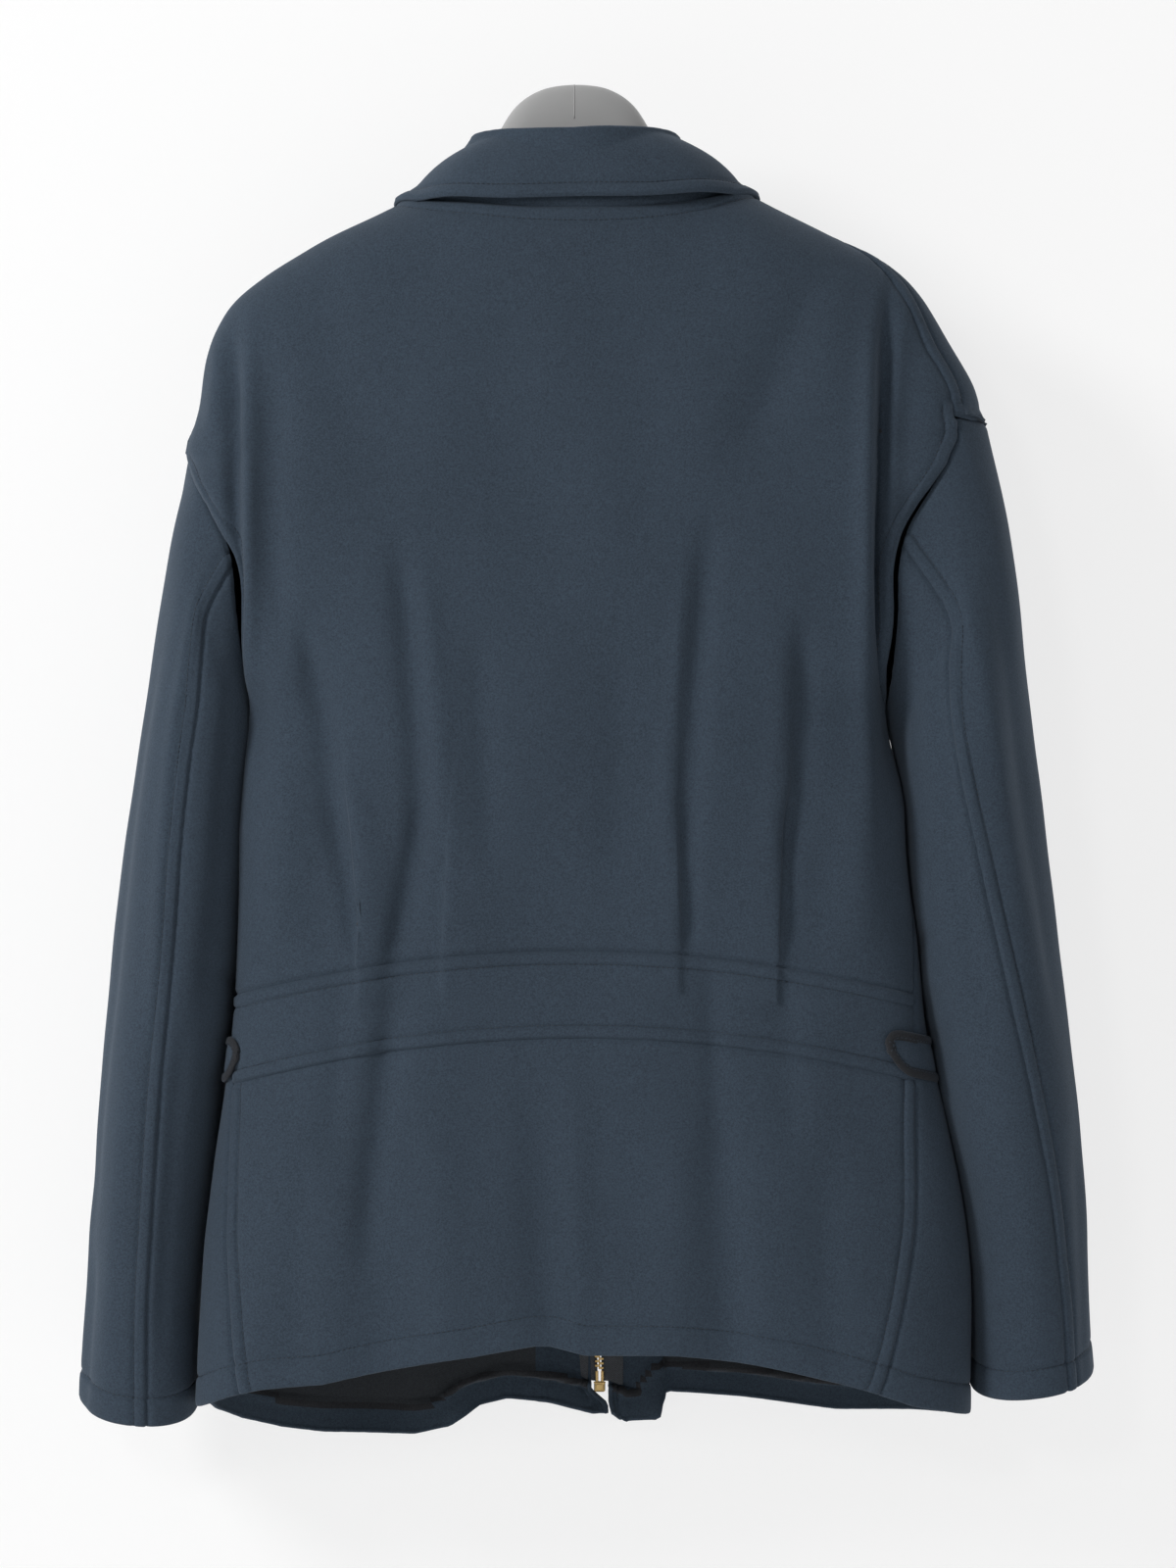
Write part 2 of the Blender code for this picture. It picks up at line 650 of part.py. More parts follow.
def add_wall(name, rows, walls, colour, lift=0.0, closed=False):
    """A cloth wall from rows of (points, normals), bottom row first, each anticlockwise.

    The inner side follows the surface's own normals, not the piece's, so two pieces that meet at
    a seam lean the same way and stay SEAM_GAP apart all through. walls holds each row's thickness.
    """
    outer = np.array([points + normals * lift for points, normals in rows])
    inner = np.array(
        [points + normals * (lift - wall) for (points, normals), wall in zip(rows, walls)]
    )
    count, width = outer.shape[:2]
    verts = np.concatenate([outer.reshape(-1, 3), inner.reshape(-1, 3)])
    inside = count * width
    faces = []
    for row in range(count - 1):
        for column in range(width if closed else width - 1):
            a = row * width + column
            b = row * width + (column + 1) % width
            faces.append((a, b, b + width, a + width))
            faces.append((inside + a, inside + a + width, inside + b + width, inside + b))
    for column in range(width if closed else width - 1):
        a, b = column, (column + 1) % width
        faces.append((a, inside + a, inside + b, b))
        top = (count - 1) * width
        faces.append((top + a, top + b, inside + top + b, inside + top + a))
    if not closed:
        for row in range(count - 1):
            a, b = row * width, (row + 1) * width
            faces.append((a, b, inside + b, inside + a))
            a, b = a + width - 1, b + width - 1
            faces.append((a, inside + a, inside + b, b))
    return add_mesh(name, verts, faces, colour)


def heights(low, high):
    """Heights of a piece's rows from low to high. Pieces that meet share those in between."""
    hem_top = HEM_TURN / (section(1).back_z - section(0).back_z)
    halves = [number / 2 for number in range(2 * len(SECTIONS) - 1)]
    band = [height("band_low") + part for part in (1 / 3, 2 / 3)]
    cap = [height("cap") + part for part in (0.25, 0.75)]
    every = sorted({hem_top, *halves, *band, *cap} - {height("band_low") + 0.5})
    return [low, *(t for t in every if low + 0.05 < t < high - 0.05), high]


# ---------------------------------------------------------------- torso pieces


def build_back():
    seam = SEAM_GAP / 2
    top, low = height("band_top"), height("band_low")
    rows = [pleated_row(t) for t in heights(beyond(top, seam), height("neck"))]
    add_wall("back_panel", rows, [CLOTH_WALL] * len(rows), CLOTH_COLOUR)
    rows = [plain_back_row(t) for t in heights(beyond(low, seam), beyond(top, -seam))]
    add_wall("back_waistband", rows, [CLOTH_WALL] * len(rows), CLOTH_COLOUR)
    rows = [plain_back_row(t) for t in heights(0.0, beyond(low, -seam))]
    walls = [HEM_WALL] * 2 + [CLOTH_WALL] * (len(rows) - 2)
    add_wall("back_skirt", rows, walls, CLOTH_COLOUR)


def build_fronts():
    for side, name in ((LEFT, "front_left"), (RIGHT, "front_right")):
        rows = [front_row(side, t, FRONT_COLUMNS) for t in heights(0.0, height("neck"))]
        add_wall(name, rows, [CLOTH_WALL] * len(rows), CLOTH_COLOUR)


def build_tabs():
    """The waistband's side tabs, laid on it, with a round tip towards the middle of the back."""
    for tab in TABS:
        rise = section(TAB_T + 0.5).left_z - section(TAB_T - 0.5).left_z
        round_part = tab.reach - TAB_ROUND * (1 - np.cos(np.linspace(math.pi / 2, 0, 6)))[::-1]
        places = np.concatenate([np.linspace(-TAB_START, tab.reach - TAB_ROUND, 6)[:-1], round_part])
        places = np.sort(places)
        from_round = np.clip((places - (tab.reach - TAB_ROUND)) / TAB_ROUND, 0, 0.985)
        half = TAB_HEIGHT / 2 * np.sqrt(1 - from_round**2)
        if tab.side == RIGHT:
            places, half = places[::-1], half[::-1]
        rows = []
        for up in (-1, 0, 1):
            spots = [
                ring_place(tab.side, TAB_T + up * reach / rise, place)
                for place, reach in zip(places, half)
            ]
            rows.append((np.array([s[0] for s in spots]), np.array([s[1] for s in spots])))
        name = "tab_left" if tab.side == LEFT else "tab_right"
        walls = [TAB_WALL] * len(rows)
        add_wall(name, rows, walls, TAPE_COLOUR, lift=TAB_WALL + SEAM_GAP + TAB_EASE)


# ---------------------------------------------------------------- sleeves


def armhole_half(side, face):
    """The armhole's edge from its top down to the underarm, round the shoulder seam's end."""
    cap, tip, underarm = height("cap"), height("tip"), height("underarm")
    down = [float(t) for t in np.linspace(cap, underarm, SLEEVE_AROUND)]
    if face == FRONT:
        end = 0 if side == LEFT else -1
        return np.array([arc(FRONT, t)[0][end] for t in down])
    edge = [back_cut(side, t) for t in down]
    if seam_shift(side, tip):
        over = [float(t) for t in np.linspace(cap, tip, 9)]
        top = [ring_place(side, t, front_shift(side, t))[0] for t in over]
        edge = top + [back_cut(side, t) for t in over[-2:0:-1]] + edge
    return np.array(edge)


def back_cut(side, t):
    """Where the sleeve meets the back's edge: a little short of it where the edge lies round."""
    return ring_place(side, t, max(seam_shift(side, t) - CUT_EASE, 0.0))[0]


def oval_half(ring, face):
    """Half of a sleeve's ring, from its outer end to its inner end."""
    turn = np.linspace(0, math.pi, SLEEVE_AROUND)
    across = np.sign(np.cos(turn)) * np.abs(np.cos(turn)) ** (2 / SLEEVE_SQUARE)
    deep = np.abs(np.sin(turn)) ** (2 / SLEEVE_SQUARE)
    share = (1 - across) / 2
    x = ring.outer_x + (ring.inner_x - ring.outer_x) * share
    z = ring.outer_z + (ring.inner_z - ring.outer_z) * share
    y = ring.mid_y + (ring.half_depth if face == FRONT else -ring.half_depth) * deep
    if face == BACK:
        z = z + ring.dip * deep
    return np.stack([x, y, z], axis=1)


def even(points, count):
    lengths = lengths_along(points)
    return sample(points, lengths, np.linspace(0, lengths[-1], count))


def sleeve_surface(side, table, per_ring):
    """Dense closed rings from the cuff up to the armhole, and their outward normals."""
    rings = []
    for ring in table:
        back, front = (even(oval_half(ring, face), SLEEVE_AROUND) for face in (BACK, FRONT))
        rings.append(np.concatenate([back, front[-2:0:-1]]))
    back, front = (even(armhole_half(side, face), SLEEVE_AROUND) for face in (BACK, FRONT))
    armhole = np.concatenate([back, front[-2:0:-1]])
    away = unit(rings[0] - armhole)
    rings.insert(0, armhole + away * ARMHOLE_EASE)
    flat = [ring.reshape(-1) for ring in rings]
    places = np.linspace(len(rings) - 1, 0, (len(rings) - 1) * per_ring + 1)
    surface = np.array([smooth_row(flat, at).reshape(-1, 3) for at in places])
    seams = [table[0].seam] + [ring.seam for ring in table]
    seams = [float(smooth_row([[seam] for seam in seams], at)[0]) for at in places]
    if side == RIGHT:
        surface = np.roll(surface[:, ::-1], 1, axis=1)
    around = np.roll(surface, -1, axis=1) - np.roll(surface, 1, axis=1)
    normals = unit(np.cross(around, np.gradient(surface, axis=0)))
    return surface, normals, seams


def ring_part(points, normals, start, end, columns):
    """Part of a closed ring, from start to end, where 2 is once round and 1 is the inner end."""
    half = SLEEVE_AROUND - 1
    places = np.linspace(start, end, columns + 1) * half
    closed_points = np.concatenate([points, points, points])
    closed_normals = np.concatenate([normals, normals, normals])
    index = np.arange(len(closed_points)) - len(points)
    return sample(closed_points, index, places), sample(closed_normals, index, places)


def build_sleeve(side, name, table):
    surface, normals, seams = sleeve_surface(side, table, 2)
    around = np.linalg.norm(surface - np.roll(surface, 1, axis=1), axis=2).sum(axis=1)
    upper, under = [], []
    for ring, out, seam, length in zip(surface, normals, seams, around):
        gap = SEAM_GAP / length
        back, front = seam, -INNER_SEAM
        if side == RIGHT:
            upper.append(ring_part(ring, out, -back + gap, -front - gap, UPPER_COLUMNS))
            under.append(ring_part(ring, out, -front + gap, 2 - back - gap, UNDER_COLUMNS))
        else:
            upper.append(ring_part(ring, out, front + gap, back - gap, UPPER_COLUMNS))
            under.append(ring_part(ring, out, back + gap, 2 + front - gap, UNDER_COLUMNS))
    walls = [HEM_WALL] + [CLOTH_WALL] * (len(upper) - 1)
    add_wall(name + "_upper", upper, walls, CLOTH_COLOUR)
    add_wall(name + "_under", under, walls, CLOTH_COLOUR)


# ---------------------------------------------------------------- collar


def collar_half(kind, count):
    """The fold line or the fall's edge from the back's middle to one front, evenly spaced."""
    columns = slice(0, 3) if kind == "fold" else slice(3, 6)
    dense = np.linspace(0, len(COLLAR) - 1, 120)
    return even(np.array([smooth_row(COLLAR, at)[columns] for at in dense]), count)


def collar_ring(half):
    """A whole line from the viewer's left front, round the back, to the right front."""
    mirrored = half[:0:-1] * [-1, 1, 1]
    whole = np.concatenate([mirrored, half])
    whole[:, 0] += np.linspace(ZIP_TOP_X, ZIP_TOP_X, len(whole)) * np.abs(
        np.linspace(-1, 1, len(whole))
    )
    whole[:, 2] += whole[:, 0] * COLLAR_TILT
    return whole


def grid_with_normals(grid):
    normals = np.cross(np.gradient(grid, axis=1), np.gradient(grid, axis=0))
    return list(zip(grid, unit(normals)))


def build_collar():
    fold, edge = (collar_ring(collar_half(kind, COLLAR_COLUMNS)) for kind in ("fold", "edge"))
    outward = unit(edge * [1, 1, 0])
    fall = []
    for share in np.linspace(0, 1, 5):
        round_out = COLLAR_BULGE * math.sin(math.pi * share)
        line = edge + (fold - edge) * share + (outward * 0.6 + [0, 0, 0.8]) * round_out
        fall.append(lay_on_shoulders(line, CLOTH_WALL + FALL_EASE * (1 + share)))
    rows = grid_with_normals(np.array(fall))
    add_wall("collar_fall", rows, [CLOTH_WALL] * len(rows), CLOTH_COLOUR)
    build_stand(rows)


def build_stand(fall_rows):
    """The stand rises from the neck seam to just inside the fall's fold line."""
    t = len(SECTIONS) - 1.0
    back, _ = arc(BACK, t)
    front, _ = arc(FRONT, t)
    middle = DENSE // 2
    right = even(np.concatenate([back[middle:], front[middle:][::-1]]), COLLAR_COLUMNS)
    left = even(np.concatenate([back[: middle + 1][::-1], front[: middle + 1]]), COLLAR_COLUMNS)
    seam = np.concatenate([left[:0:-1], right])
    seam[:, 2] += SEAM_GAP + STAND_EASE
    seam[:, :2] -= unit(seam[:, :2]) * STAND_EASE
    fold, out = fall_rows[-1]
    top = fold - out * (CLOTH_WALL + SEAM_GAP + STAND_EASE)
    for line in (seam, top):
        line[0, 0] = ZIP_TOP_X - COLLAR_FRONT_GAP
        line[-1, 0] = ZIP_TOP_X + COLLAR_FRONT_GAP
    lines = []
    for share in np.linspace(0, 1, 4):
        line = seam + (top - seam) * share
        line -= unit(line * [1, 1, 0]) * STAND_HOLLOW * math.sin(math.pi * share)
        lines.append(line)
    rows = grid_with_normals(np.array(lines))
    add_wall("collar_stand", rows, [CLOTH_WALL] * len(rows), CLOTH_COLOUR)


# ---------------------------------------------------------------- zip


def build_zip():
    zip_top = height("neck") - 0.2
    places = heights(TAPE_LOW_T, zip_top)
    near = CHAIN_WIDTH / 2 + SEAM_GAP
    inside = -(CLOTH_WALL + SEAM_GAP)
    for side, name in ((LEFT, "zip_tape_left"), (RIGHT, "zip_tape_right")):
        rows = [zip_row(side, t, near, TAPE_REACH, 1) for t in places]
        add_wall(name, rows, [TAPE_WALL] * len(rows), TAPE_COLOUR, lift=inside)
    half = CHAIN_WIDTH / 2
    rows = [zip_row(RIGHT, t, -half, half, 1) for t in heights(CHAIN_LOW_T, zip_top)]
    add_wall("zip_chain", rows, [CHAIN_THICK] * len(rows), BRASS_COLOUR, lift=CHAIN_LIFT)
    build_zip_box()
    build_slider()


def zip_spot(z):
    """The zip's middle on the cloth's outer side, at this z."""
    places = np.linspace(height("neck"), 0, 400)
    spots = np.array([zip_row(RIGHT, float(t), 0, 1, 1)[0][-1] for t in places])
    return np.array([np.interp(-z, -spots[:, 2], spots[:, axis]) for axis in range(3)])


def add_block(name, size, middle, bevel=0.0):
    """A cuboid, or one with rounded edges."""
    work = bmesh.new()
    bmesh.ops.create_cube(work, size=1)
    bmesh.ops.scale(work, vec=[length * MM for length in size], verts=work.verts)
    mesh = bpy.data.meshes.new(name)
    work.to_mesh(mesh)
    work.free()
    obj = add_object(name, mesh, BRASS_COLOUR, middle)
    if bevel:
        round_off = obj.modifiers.new("round", "BEVEL")
        round_off.width = bevel * MM
        round_off.segments = 2
    return obj


def combine(obj, other, operation):
    """Joins or cuts obj with other, which goes to the cutters."""
    name = "cutters"
    cutters = bpy.data.collections.get(name)
    if cutters is None:
        cutters = bpy.data.collections.new(name)
        bpy.context.scene.collection.children.link(cutters)
    parts_collection().objects.unlink(other)
    cutters.objects.link(other)
    other.hide_render = True
    other.display_type = "WIRE"
    change = obj.modifiers.new(operation.lower(), "BOOLEAN")
    change.operation = operation
    change.object = other


def build_zip_box():
    """The box at the zip's foot, with the two pins that stand in it."""
    foot = zip_spot(BOX_TOP_Z) - [0, CHAIN_LIFT_MIDDLE, 0]
    middle = foot - [0, 0, BOX_SIZE[2] / 2]
    box = add_block("zip_box", BOX_SIZE, middle, 0.5)
    for side in (LEFT, RIGHT):
        pin_middle = foot + [side * PIN_OFFSET, 0, PIN_SIZE[2] / 2 - 1]
        pin = add_block(f"pin_{side + 1}", PIN_SIZE, pin_middle)
        combine(box, pin, "UNION")


def build_slider():
    """The closed zip's slider, and the pull tab that swings on its bridge."""
    spot = zip_spot(SLIDER_Z)
    face_y = spot[1] + SLIDER_FACE
    middle = np.array([spot[0], face_y - SLIDER_SIZE[1] / 2, SLIDER_Z])
    slider = add_block("zip_slider", SLIDER_SIZE, middle, 0.8)
    axis = np.array([spot[0], face_y + PULL_LIFT, SLIDER_Z + 2])
    bridge = add_block("bridge", BRIDGE_SIZE, axis - [0, BRIDGE_SINK, 0])
    eye = add_block("eye", (9, EYE, EYE), axis)
    combine(slider, bridge, "UNION")
    combine(slider, eye, "DIFFERENCE")
    build_pull(axis)


def build_pull(axis):
    """Its origin is the middle of its top bar, which is the joint's axis, along x."""
    pull = add_block("zip_pull", PULL_SIZE, axis, 0.5)
    drop = PULL_SIZE[2] / 2 - PULL_BAR / 2
    for vertex in pull.data.vertices:
        vertex.co.z -= drop * MM
    window_middle = axis - [0, 0, PULL_BAR / 2 + PULL_HOLE[1] / 2]
    window = add_block("window", (PULL_HOLE[0], 9, PULL_HOLE[1]), window_middle)
    combine(pull, window, "DIFFERENCE")


# ---------------------------------------------------------------- hanger


def build_hanger():
    """One moulded body, lofted from rib to rib, with its neck dome in the middle."""
    ribs = [rib._replace(x=-rib.x) for rib in HANGER[:0:-1]] + HANGER
    turn = np.linspace(0, 2 * math.pi, HANGER_AROUND, endpoint=False)
    y = np.sign(np.sin(turn)) * np.abs(np.sin(turn)) ** (2 / HANGER_SQUARE)
    z = np.sign(np.cos(turn)) * np.abs(np.cos(turn)) ** (2 / HANGER_SQUARE)
    verts = []
    for rib in ribs:
        middle = rib.top - rib.height / 2 + rib.x * HANGER_TILT
        for side, up in zip(y, z):
            verts.append((rib.x, side * rib.depth / 2, middle + up * rib.height / 2))
    verts = np.array(verts, float)
    arms = np.abs(verts[:, 0]) > HANGER_ARM_X
    verts[arms] = keep_under_shoulders(verts[arms], CLOTH_WALL + SEAM_GAP + HANGER_EASE)
    faces = []
    for row in range(len(ribs) - 1):
        for column in range(HANGER_AROUND):
            a = row * HANGER_AROUND + column
            b = row * HANGER_AROUND + (column + 1) % HANGER_AROUND
            faces.append((a, b, b + HANGER_AROUND, a + HANGER_AROUND))
    faces.append(tuple(range(HANGER_AROUND))[::-1])
    last = (len(ribs) - 1) * HANGER_AROUND
    faces.append(tuple(range(last, last + HANGER_AROUND)))
    obj = add_mesh("hanger", verts, faces, HANGER_COLOUR)
    face_out(obj.data)


def face_out(mesh):
    work = bmesh.new()
    work.from_mesh(mesh)
    bmesh.ops.recalc_face_normals(work, faces=work.faces)
    work.to_mesh(mesh)
    work.free()


def clear_scene():
    for obj in list(bpy.data.objects):
        bpy.data.objects.remove(obj, do_unlink=True)


def main():
    clear_scene()
    build_back()
    build_fronts()
    build_tabs()
    build_sleeve(LEFT, "sleeve_left", SLEEVE_LEFT)
    build_sleeve(RIGHT, "sleeve_right", SLEEVE_RIGHT)
    build_collar()
    build_zip()
    build_hanger()


main()
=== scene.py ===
"""The looks of the knit sport jacket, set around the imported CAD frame.

Lengths in the tables are millimetres from the top of the hanger's neck: x to the viewer's right,
y away from the viewer, z up. The cloth is drawn again from the solids' own sections, finer, as thin
shells with seams, stitching, hems and creases.
"""

import math
from collections import namedtuple
from functools import lru_cache

import bmesh
import bpy
import numpy as np
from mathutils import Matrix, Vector


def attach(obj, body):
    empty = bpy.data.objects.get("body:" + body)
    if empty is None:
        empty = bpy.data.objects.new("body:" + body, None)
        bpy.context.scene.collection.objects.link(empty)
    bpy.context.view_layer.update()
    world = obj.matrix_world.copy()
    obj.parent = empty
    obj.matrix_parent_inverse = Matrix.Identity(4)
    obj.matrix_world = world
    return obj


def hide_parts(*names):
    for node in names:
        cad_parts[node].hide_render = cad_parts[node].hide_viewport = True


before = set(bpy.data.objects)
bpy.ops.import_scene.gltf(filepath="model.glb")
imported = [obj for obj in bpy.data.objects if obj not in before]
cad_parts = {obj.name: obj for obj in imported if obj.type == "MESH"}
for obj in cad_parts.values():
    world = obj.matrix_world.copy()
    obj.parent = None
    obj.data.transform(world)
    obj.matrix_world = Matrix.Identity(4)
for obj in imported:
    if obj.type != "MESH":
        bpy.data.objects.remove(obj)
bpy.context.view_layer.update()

MM = 0.001
BACK, FRONT = "back", "front"
LEFT, RIGHT = -1, 1

CLOTH_WALL = 1.8
HEM_TURN = 17
SEAM_GAP = 0.12
DENSE = 361  # points along an arc
FINE_STEP = 0.02  # of a height, where it is followed closely

# ---------------------------------------------------------------- torso

# square: 2 is an ellipse, more is boxier. tuck: how far the side folds in towards the body.
Section = namedtuple(
    "Section",
    "name left_x left_z right_x right_z end_back end_front back_y back_z front_y front_z"
    " square tuck_left tuck_right",
)
SECTIONS = [
    Section("hem", -230, -803, 243, -807, 0, 0, -74, -768, 77, -816, 2.6, 2, 3),
    Section("skirt", -227, -706, 240, -708, 0, 0, -74, -678, 77, -716, 2.6, 6, 4),
    Section("band_low", -214.5, -611, 222, -611, 0, 0, -72, -580, 76, -614, 2.7, 7, 6.5),
    Section("band_top", -209, -556, 211, -556, 0, 0, -71, -527.5, 75, -558, 2.8, 8, 4),
    Section("waist", -207, -490, 204, -490, 0, 0, -72, -474, 74, -494, 2.9, 13, 6),
    Section("rib", -205, -438, 200, -438, 0, 0, -72, -430, 73, -442, 3.0, 14, 8),
    Section("underarm", -202, -392, 195, -392, 0, 0, -71, -391, 72, -398, 3.0, 12, 7),
    Section("arm_1", -202, -361, 193, -361, -31, 31, -70, -359, 70, -369, 3.0, 5, 2),
    Section("arm_2", -203, -326, 194, -328, -44, 43, -69, -326, 68, -338, 3.0, 1, 0),
    Section("arm_3", -207, -290, 196, -294, -48, 45, -67, -293, 66, -308, 3.0, 0, 0),
    Section("arm_4", -218, -263, 206, -264, -42, 41, -65, -264, 64, -282, 3.0, 0, 0),
    Section("arm_5", -228, -245, 229, -233, -31, 31, -63, -245, 62, -263, 3.0, 0, 0),
    Section("cap", -235, -227, 251, -210, 0, 0, -62, -228, 61, -247, 3.0, 0, 0),
    Section("tip", -234, -219, 250, -203, 0, 0, -61, -217, 60, -239, 3.0, 0, 0),
    Section("tip_1", -228, -199, 245, -184, 0, 0, -60, -201, 58, -227, 3.0, 0, 0),
    Section("tip_2", -223, -167, 232, -161, 0, 0, -58, -180, 57, -211, 3.0, 0, 0),
    Section("tip_3", -211, -138, 213, -131, 0, 0, -57, -160, 56, -195, 3.0, 0, 0),
    Section("shoulder_1", -190, -118, 191, -111, 0, 0, -55, -141, 54, -179, 3.0, 0, 0),
    Section("shoulder_2", -162, -102, 163, -96, 0, 0, -54, -121, 53, -162, 2.9, 0, 0),
    Section("shoulder_3", -132, -86, 133, -81, 0, 0, -52, -101, 52, -143, 2.6, 0, 0),
    Section("neck", -103, -71, 104, -67, 0, 0, -50, -80, 50, -122, 2.2, 0, 0),
]
TUCK_REACH = 28  # how far along y a side tuck spreads
BACK_FLATTER = 1.3  # added to square for the back, from this many sections under the underarm down
BACK_FLATTER_FROM = 1.5

# How far the side seam, and then the shoulder seam, lies round on the back of each section. The
# armhole's opening closes between cap, its top, and tip, where the shoulder seam meets it.
SeamShift = namedtuple("SeamShift", "name left right plus", defaults=[0.0])  # plus: part above it
SIDE_SEAM = [
    SeamShift("hem", 72, 105),
    SeamShift("skirt", 56, 78),
    SeamShift("band_low", 44, 56),
    SeamShift("band_top", 24, 42),
    SeamShift("waist", 14, 30),
    SeamShift("rib", 8, 16),
    SeamShift("underarm", 0, 0),
]
SHOULDER_SEAM = [
    SeamShift("arm_4", 0, 0),
    SeamShift("arm_5", 0, 13),
    SeamShift("arm_5", 0, 29, 0.5),
    SeamShift("cap", 0, 47),
    SeamShift("tip", 0, 45),
    SeamShift("tip_2", 0, 42),
    SeamShift("tip_3", 0, 36),
    SeamShift("shoulder_1", 0, 26),
    SeamShift("shoulder_2", 0, 8),
    SeamShift("shoulder_3", 0, 0),
    SeamShift("neck", 0, 0),
]

# A knife pleat runs up from the waistband. Its fold faces the side seam and drops by height.
Pleat = namedtuple("Pleat", "low_x high_x high_z height")
PLEATS = [
    Pleat(-130, -139, -395, 4.5),
    Pleat(-79, -71, -405, 4.0),
    Pleat(64, 62, -405, 4.0),
    Pleat(123, 131, -395, 4.5),
]
PLEAT_RUN = 42  # the pleat's cloth rises over this width, towards the middle of the back
PLEAT_FOLD = 1.4  # width of the fold's steep side
CHEST_HALF_WIDTH = 200

# A soft fold is a ridge, or a trough where its height is below 0, along a line down the cloth.
Fold = namedtuple("Fold", "face top_x top_z low_x low_z width height at_top at_low")
FOLDS = [
    Fold(BACK, -92, -450, -110, -600, 15, -3.0, 0.0, 0.6),
    Fold(BACK, -112, -580, -120, -790, 20, -4.0, 0.6, 1.0),
    Fold(BACK, 2, -600, 6, -780, 24, -3.0, 0.0, 1.0),
    Fold(BACK, 78, -590, 92, -790, 20, -4.0, 0.3, 1.0),
    Fold(BACK, -146, -300, -152, -540, 16, -2.5, 0.0, 0.8),
    Fold(BACK, 146, -300, 142, -540, 16, -2.5, 0.0, 0.8),
    Fold(BACK, -176, -300, -178, -520, 12, 3.5, 0.2, 0.4),
    Fold(BACK, 170, -300, 172, -520, 12, 3.5, 0.2, 0.4),
    Fold(FRONT, -62, -640, -68, -830, 14, -7.0, 0.0, 1.0),
    Fold(FRONT, 52, -640, 56, -830, 13, -7.0, 0.0, 1.0),
    Fold(FRONT, -120, -560, -126, -830, 24, 4.0, 0.0, 1.0),
    Fold(FRONT, 120, -560, 118, -830, 24, 4.0, 0.0, 1.0),
    Fold(FRONT, -150, -290, -140, -520, 20, -4.0, 0.0, 0.2),
    Fold(FRONT, 146, -290, 136, -520, 20, -4.0, 0.0, 0.2),
]

# How much lower than its section the hem hangs: (x, drop). It fades out at the section above.
FRONT_HEM_DROPS = [
    (-230, 3), (-224, 9), (-208, 15), (-182, 20), (-157, 22), (-100, 21), (-78, 15), (-60, 1),
    (-42, -3), (-16, -1), (12, 6), (22, 6), (29, 11), (53, 9), (58, -8), (103, -3), (164, 6),
    (212, 7), (230, 8), (241, 3),
]
BACK_HEM_DROPS = [
    (-230, 2), (-208, -1.5), (-188, -1.5), (-151, 3), (-110, 1), (-60, -1.5), (-18, -6), (8, 1.5),
    (62, -1), (115, 0), (171, 2.5), (204, 5.5), (243, 2),
]

# ---------------------------------------------------------------- sleeves

# outer and inner are the ends of the oval's long way; dip lowers its back; seam is where the back
# seam lies, from 0 at the outer end to 1 at the inner end.
SleeveRing = namedtuple("SleeveRing", "outer_x outer_z inner_x inner_z mid_y half_depth dip seam")
SLEEVE_LEFT = [
    SleeveRing(-242, -262, -193, -401, 1, 53, 0, 0.46),
    SleeveRing(-249, -296, -194, -412, 3, 60, 0, 0.48),
    SleeveRing(-256, -334, -195, -428, 5, 65, 0, 0.50),
    SleeveRing(-264, -384, -197, -452, 6, 68, 0, 0.50),
    SleeveRing(-272, -444, -199, -490, 6, 68, 0, 0.50),
    SleeveRing(-281, -520, -203, -542, 6, 66, 0, 0.51),
    SleeveRing(-290, -608, -213, -612, 6, 62, 0, 0.52),
    SleeveRing(-294, -676, -221, -676, 6, 57, 0, 0.53),
    SleeveRing(-298, -740, -228, -740, 8, 51, -4, 0.54),
    SleeveRing(-303, -800, -230, -806, 12, 46, -13, 0.56),
]
SLEEVE_RIGHT = [
    SleeveRing(259, -240, 193, -401, -1, 53, 0, 0.52),
    SleeveRing(266, -276, 195, -411, 0, 60, 0, 0.56),
    SleeveRing(272, -320, 197, -424, 0, 65, 0, 0.58),
    SleeveRing(277, -374, 200, -446, 0, 68, 0, 0.56),
    SleeveRing(285, -440, 202, -484, 0, 68, 0, 0.52),
    SleeveRing(296, -526, 210, -546, -2, 66, 0, 0.48),
    SleeveRing(306, -610, 221, -612, -4, 62, 0, 0.44),
    SleeveRing(310, -676, 234, -674, -4, 56, 0, 0.40),
    SleeveRing(313, -736, 241, -732, -2, 51, -2, 0.37),
    SleeveRing(317, -784, 242, -794, 0, 46, -9, 0.35),
]
SLEEVE_SQUARE = 2.2
INNER_SEAM = 0.86  # where the hidden second seam lies on the sleeve's front
SLEEVE_AROUND = 64  # dense points round half a sleeve
CUT_EASE = 0.4  # how far the sleeve stops short of the back's edge
ARMHOLE_EASE = 0.3  # and of the armhole

# ---------------------------------------------------------------- collar

# From the middle of the back round to the front end: the fold line at the top, then the fall's edge.
CollarSpoke = namedtuple("CollarSpoke", "fold_x fold_y fold_z edge_x edge_y edge_z")
COLLAR = [
    CollarSpoke(0, -43, -35, 0, -57, -74),
    CollarSpoke(28, -41, -34, 44, -56, -74),
    CollarSpoke(50, -30, -33, 84, -44, -71),
    CollarSpoke(63, -6, -37, 107, -8, -74),
    CollarSpoke(61, 16, -47, 106, 28, -92),
    CollarSpoke(48, 32, -62, 96, 52, -128),
    CollarSpoke(28, 42, -78, 74, 64, -158),
    CollarSpoke(8, 47, -90, 46, 70, -180),
]
COLLAR_BULGE = 5  # how far the fall rounds out between fold and edge
COLLAR_TILT = 0.018  # the right side hangs higher, in mm for each mm of x
COLLAR_COLUMNS = 66
FALL_EASE = 2.2  # the fall's least gap over the shoulders, and at the fold twice as much
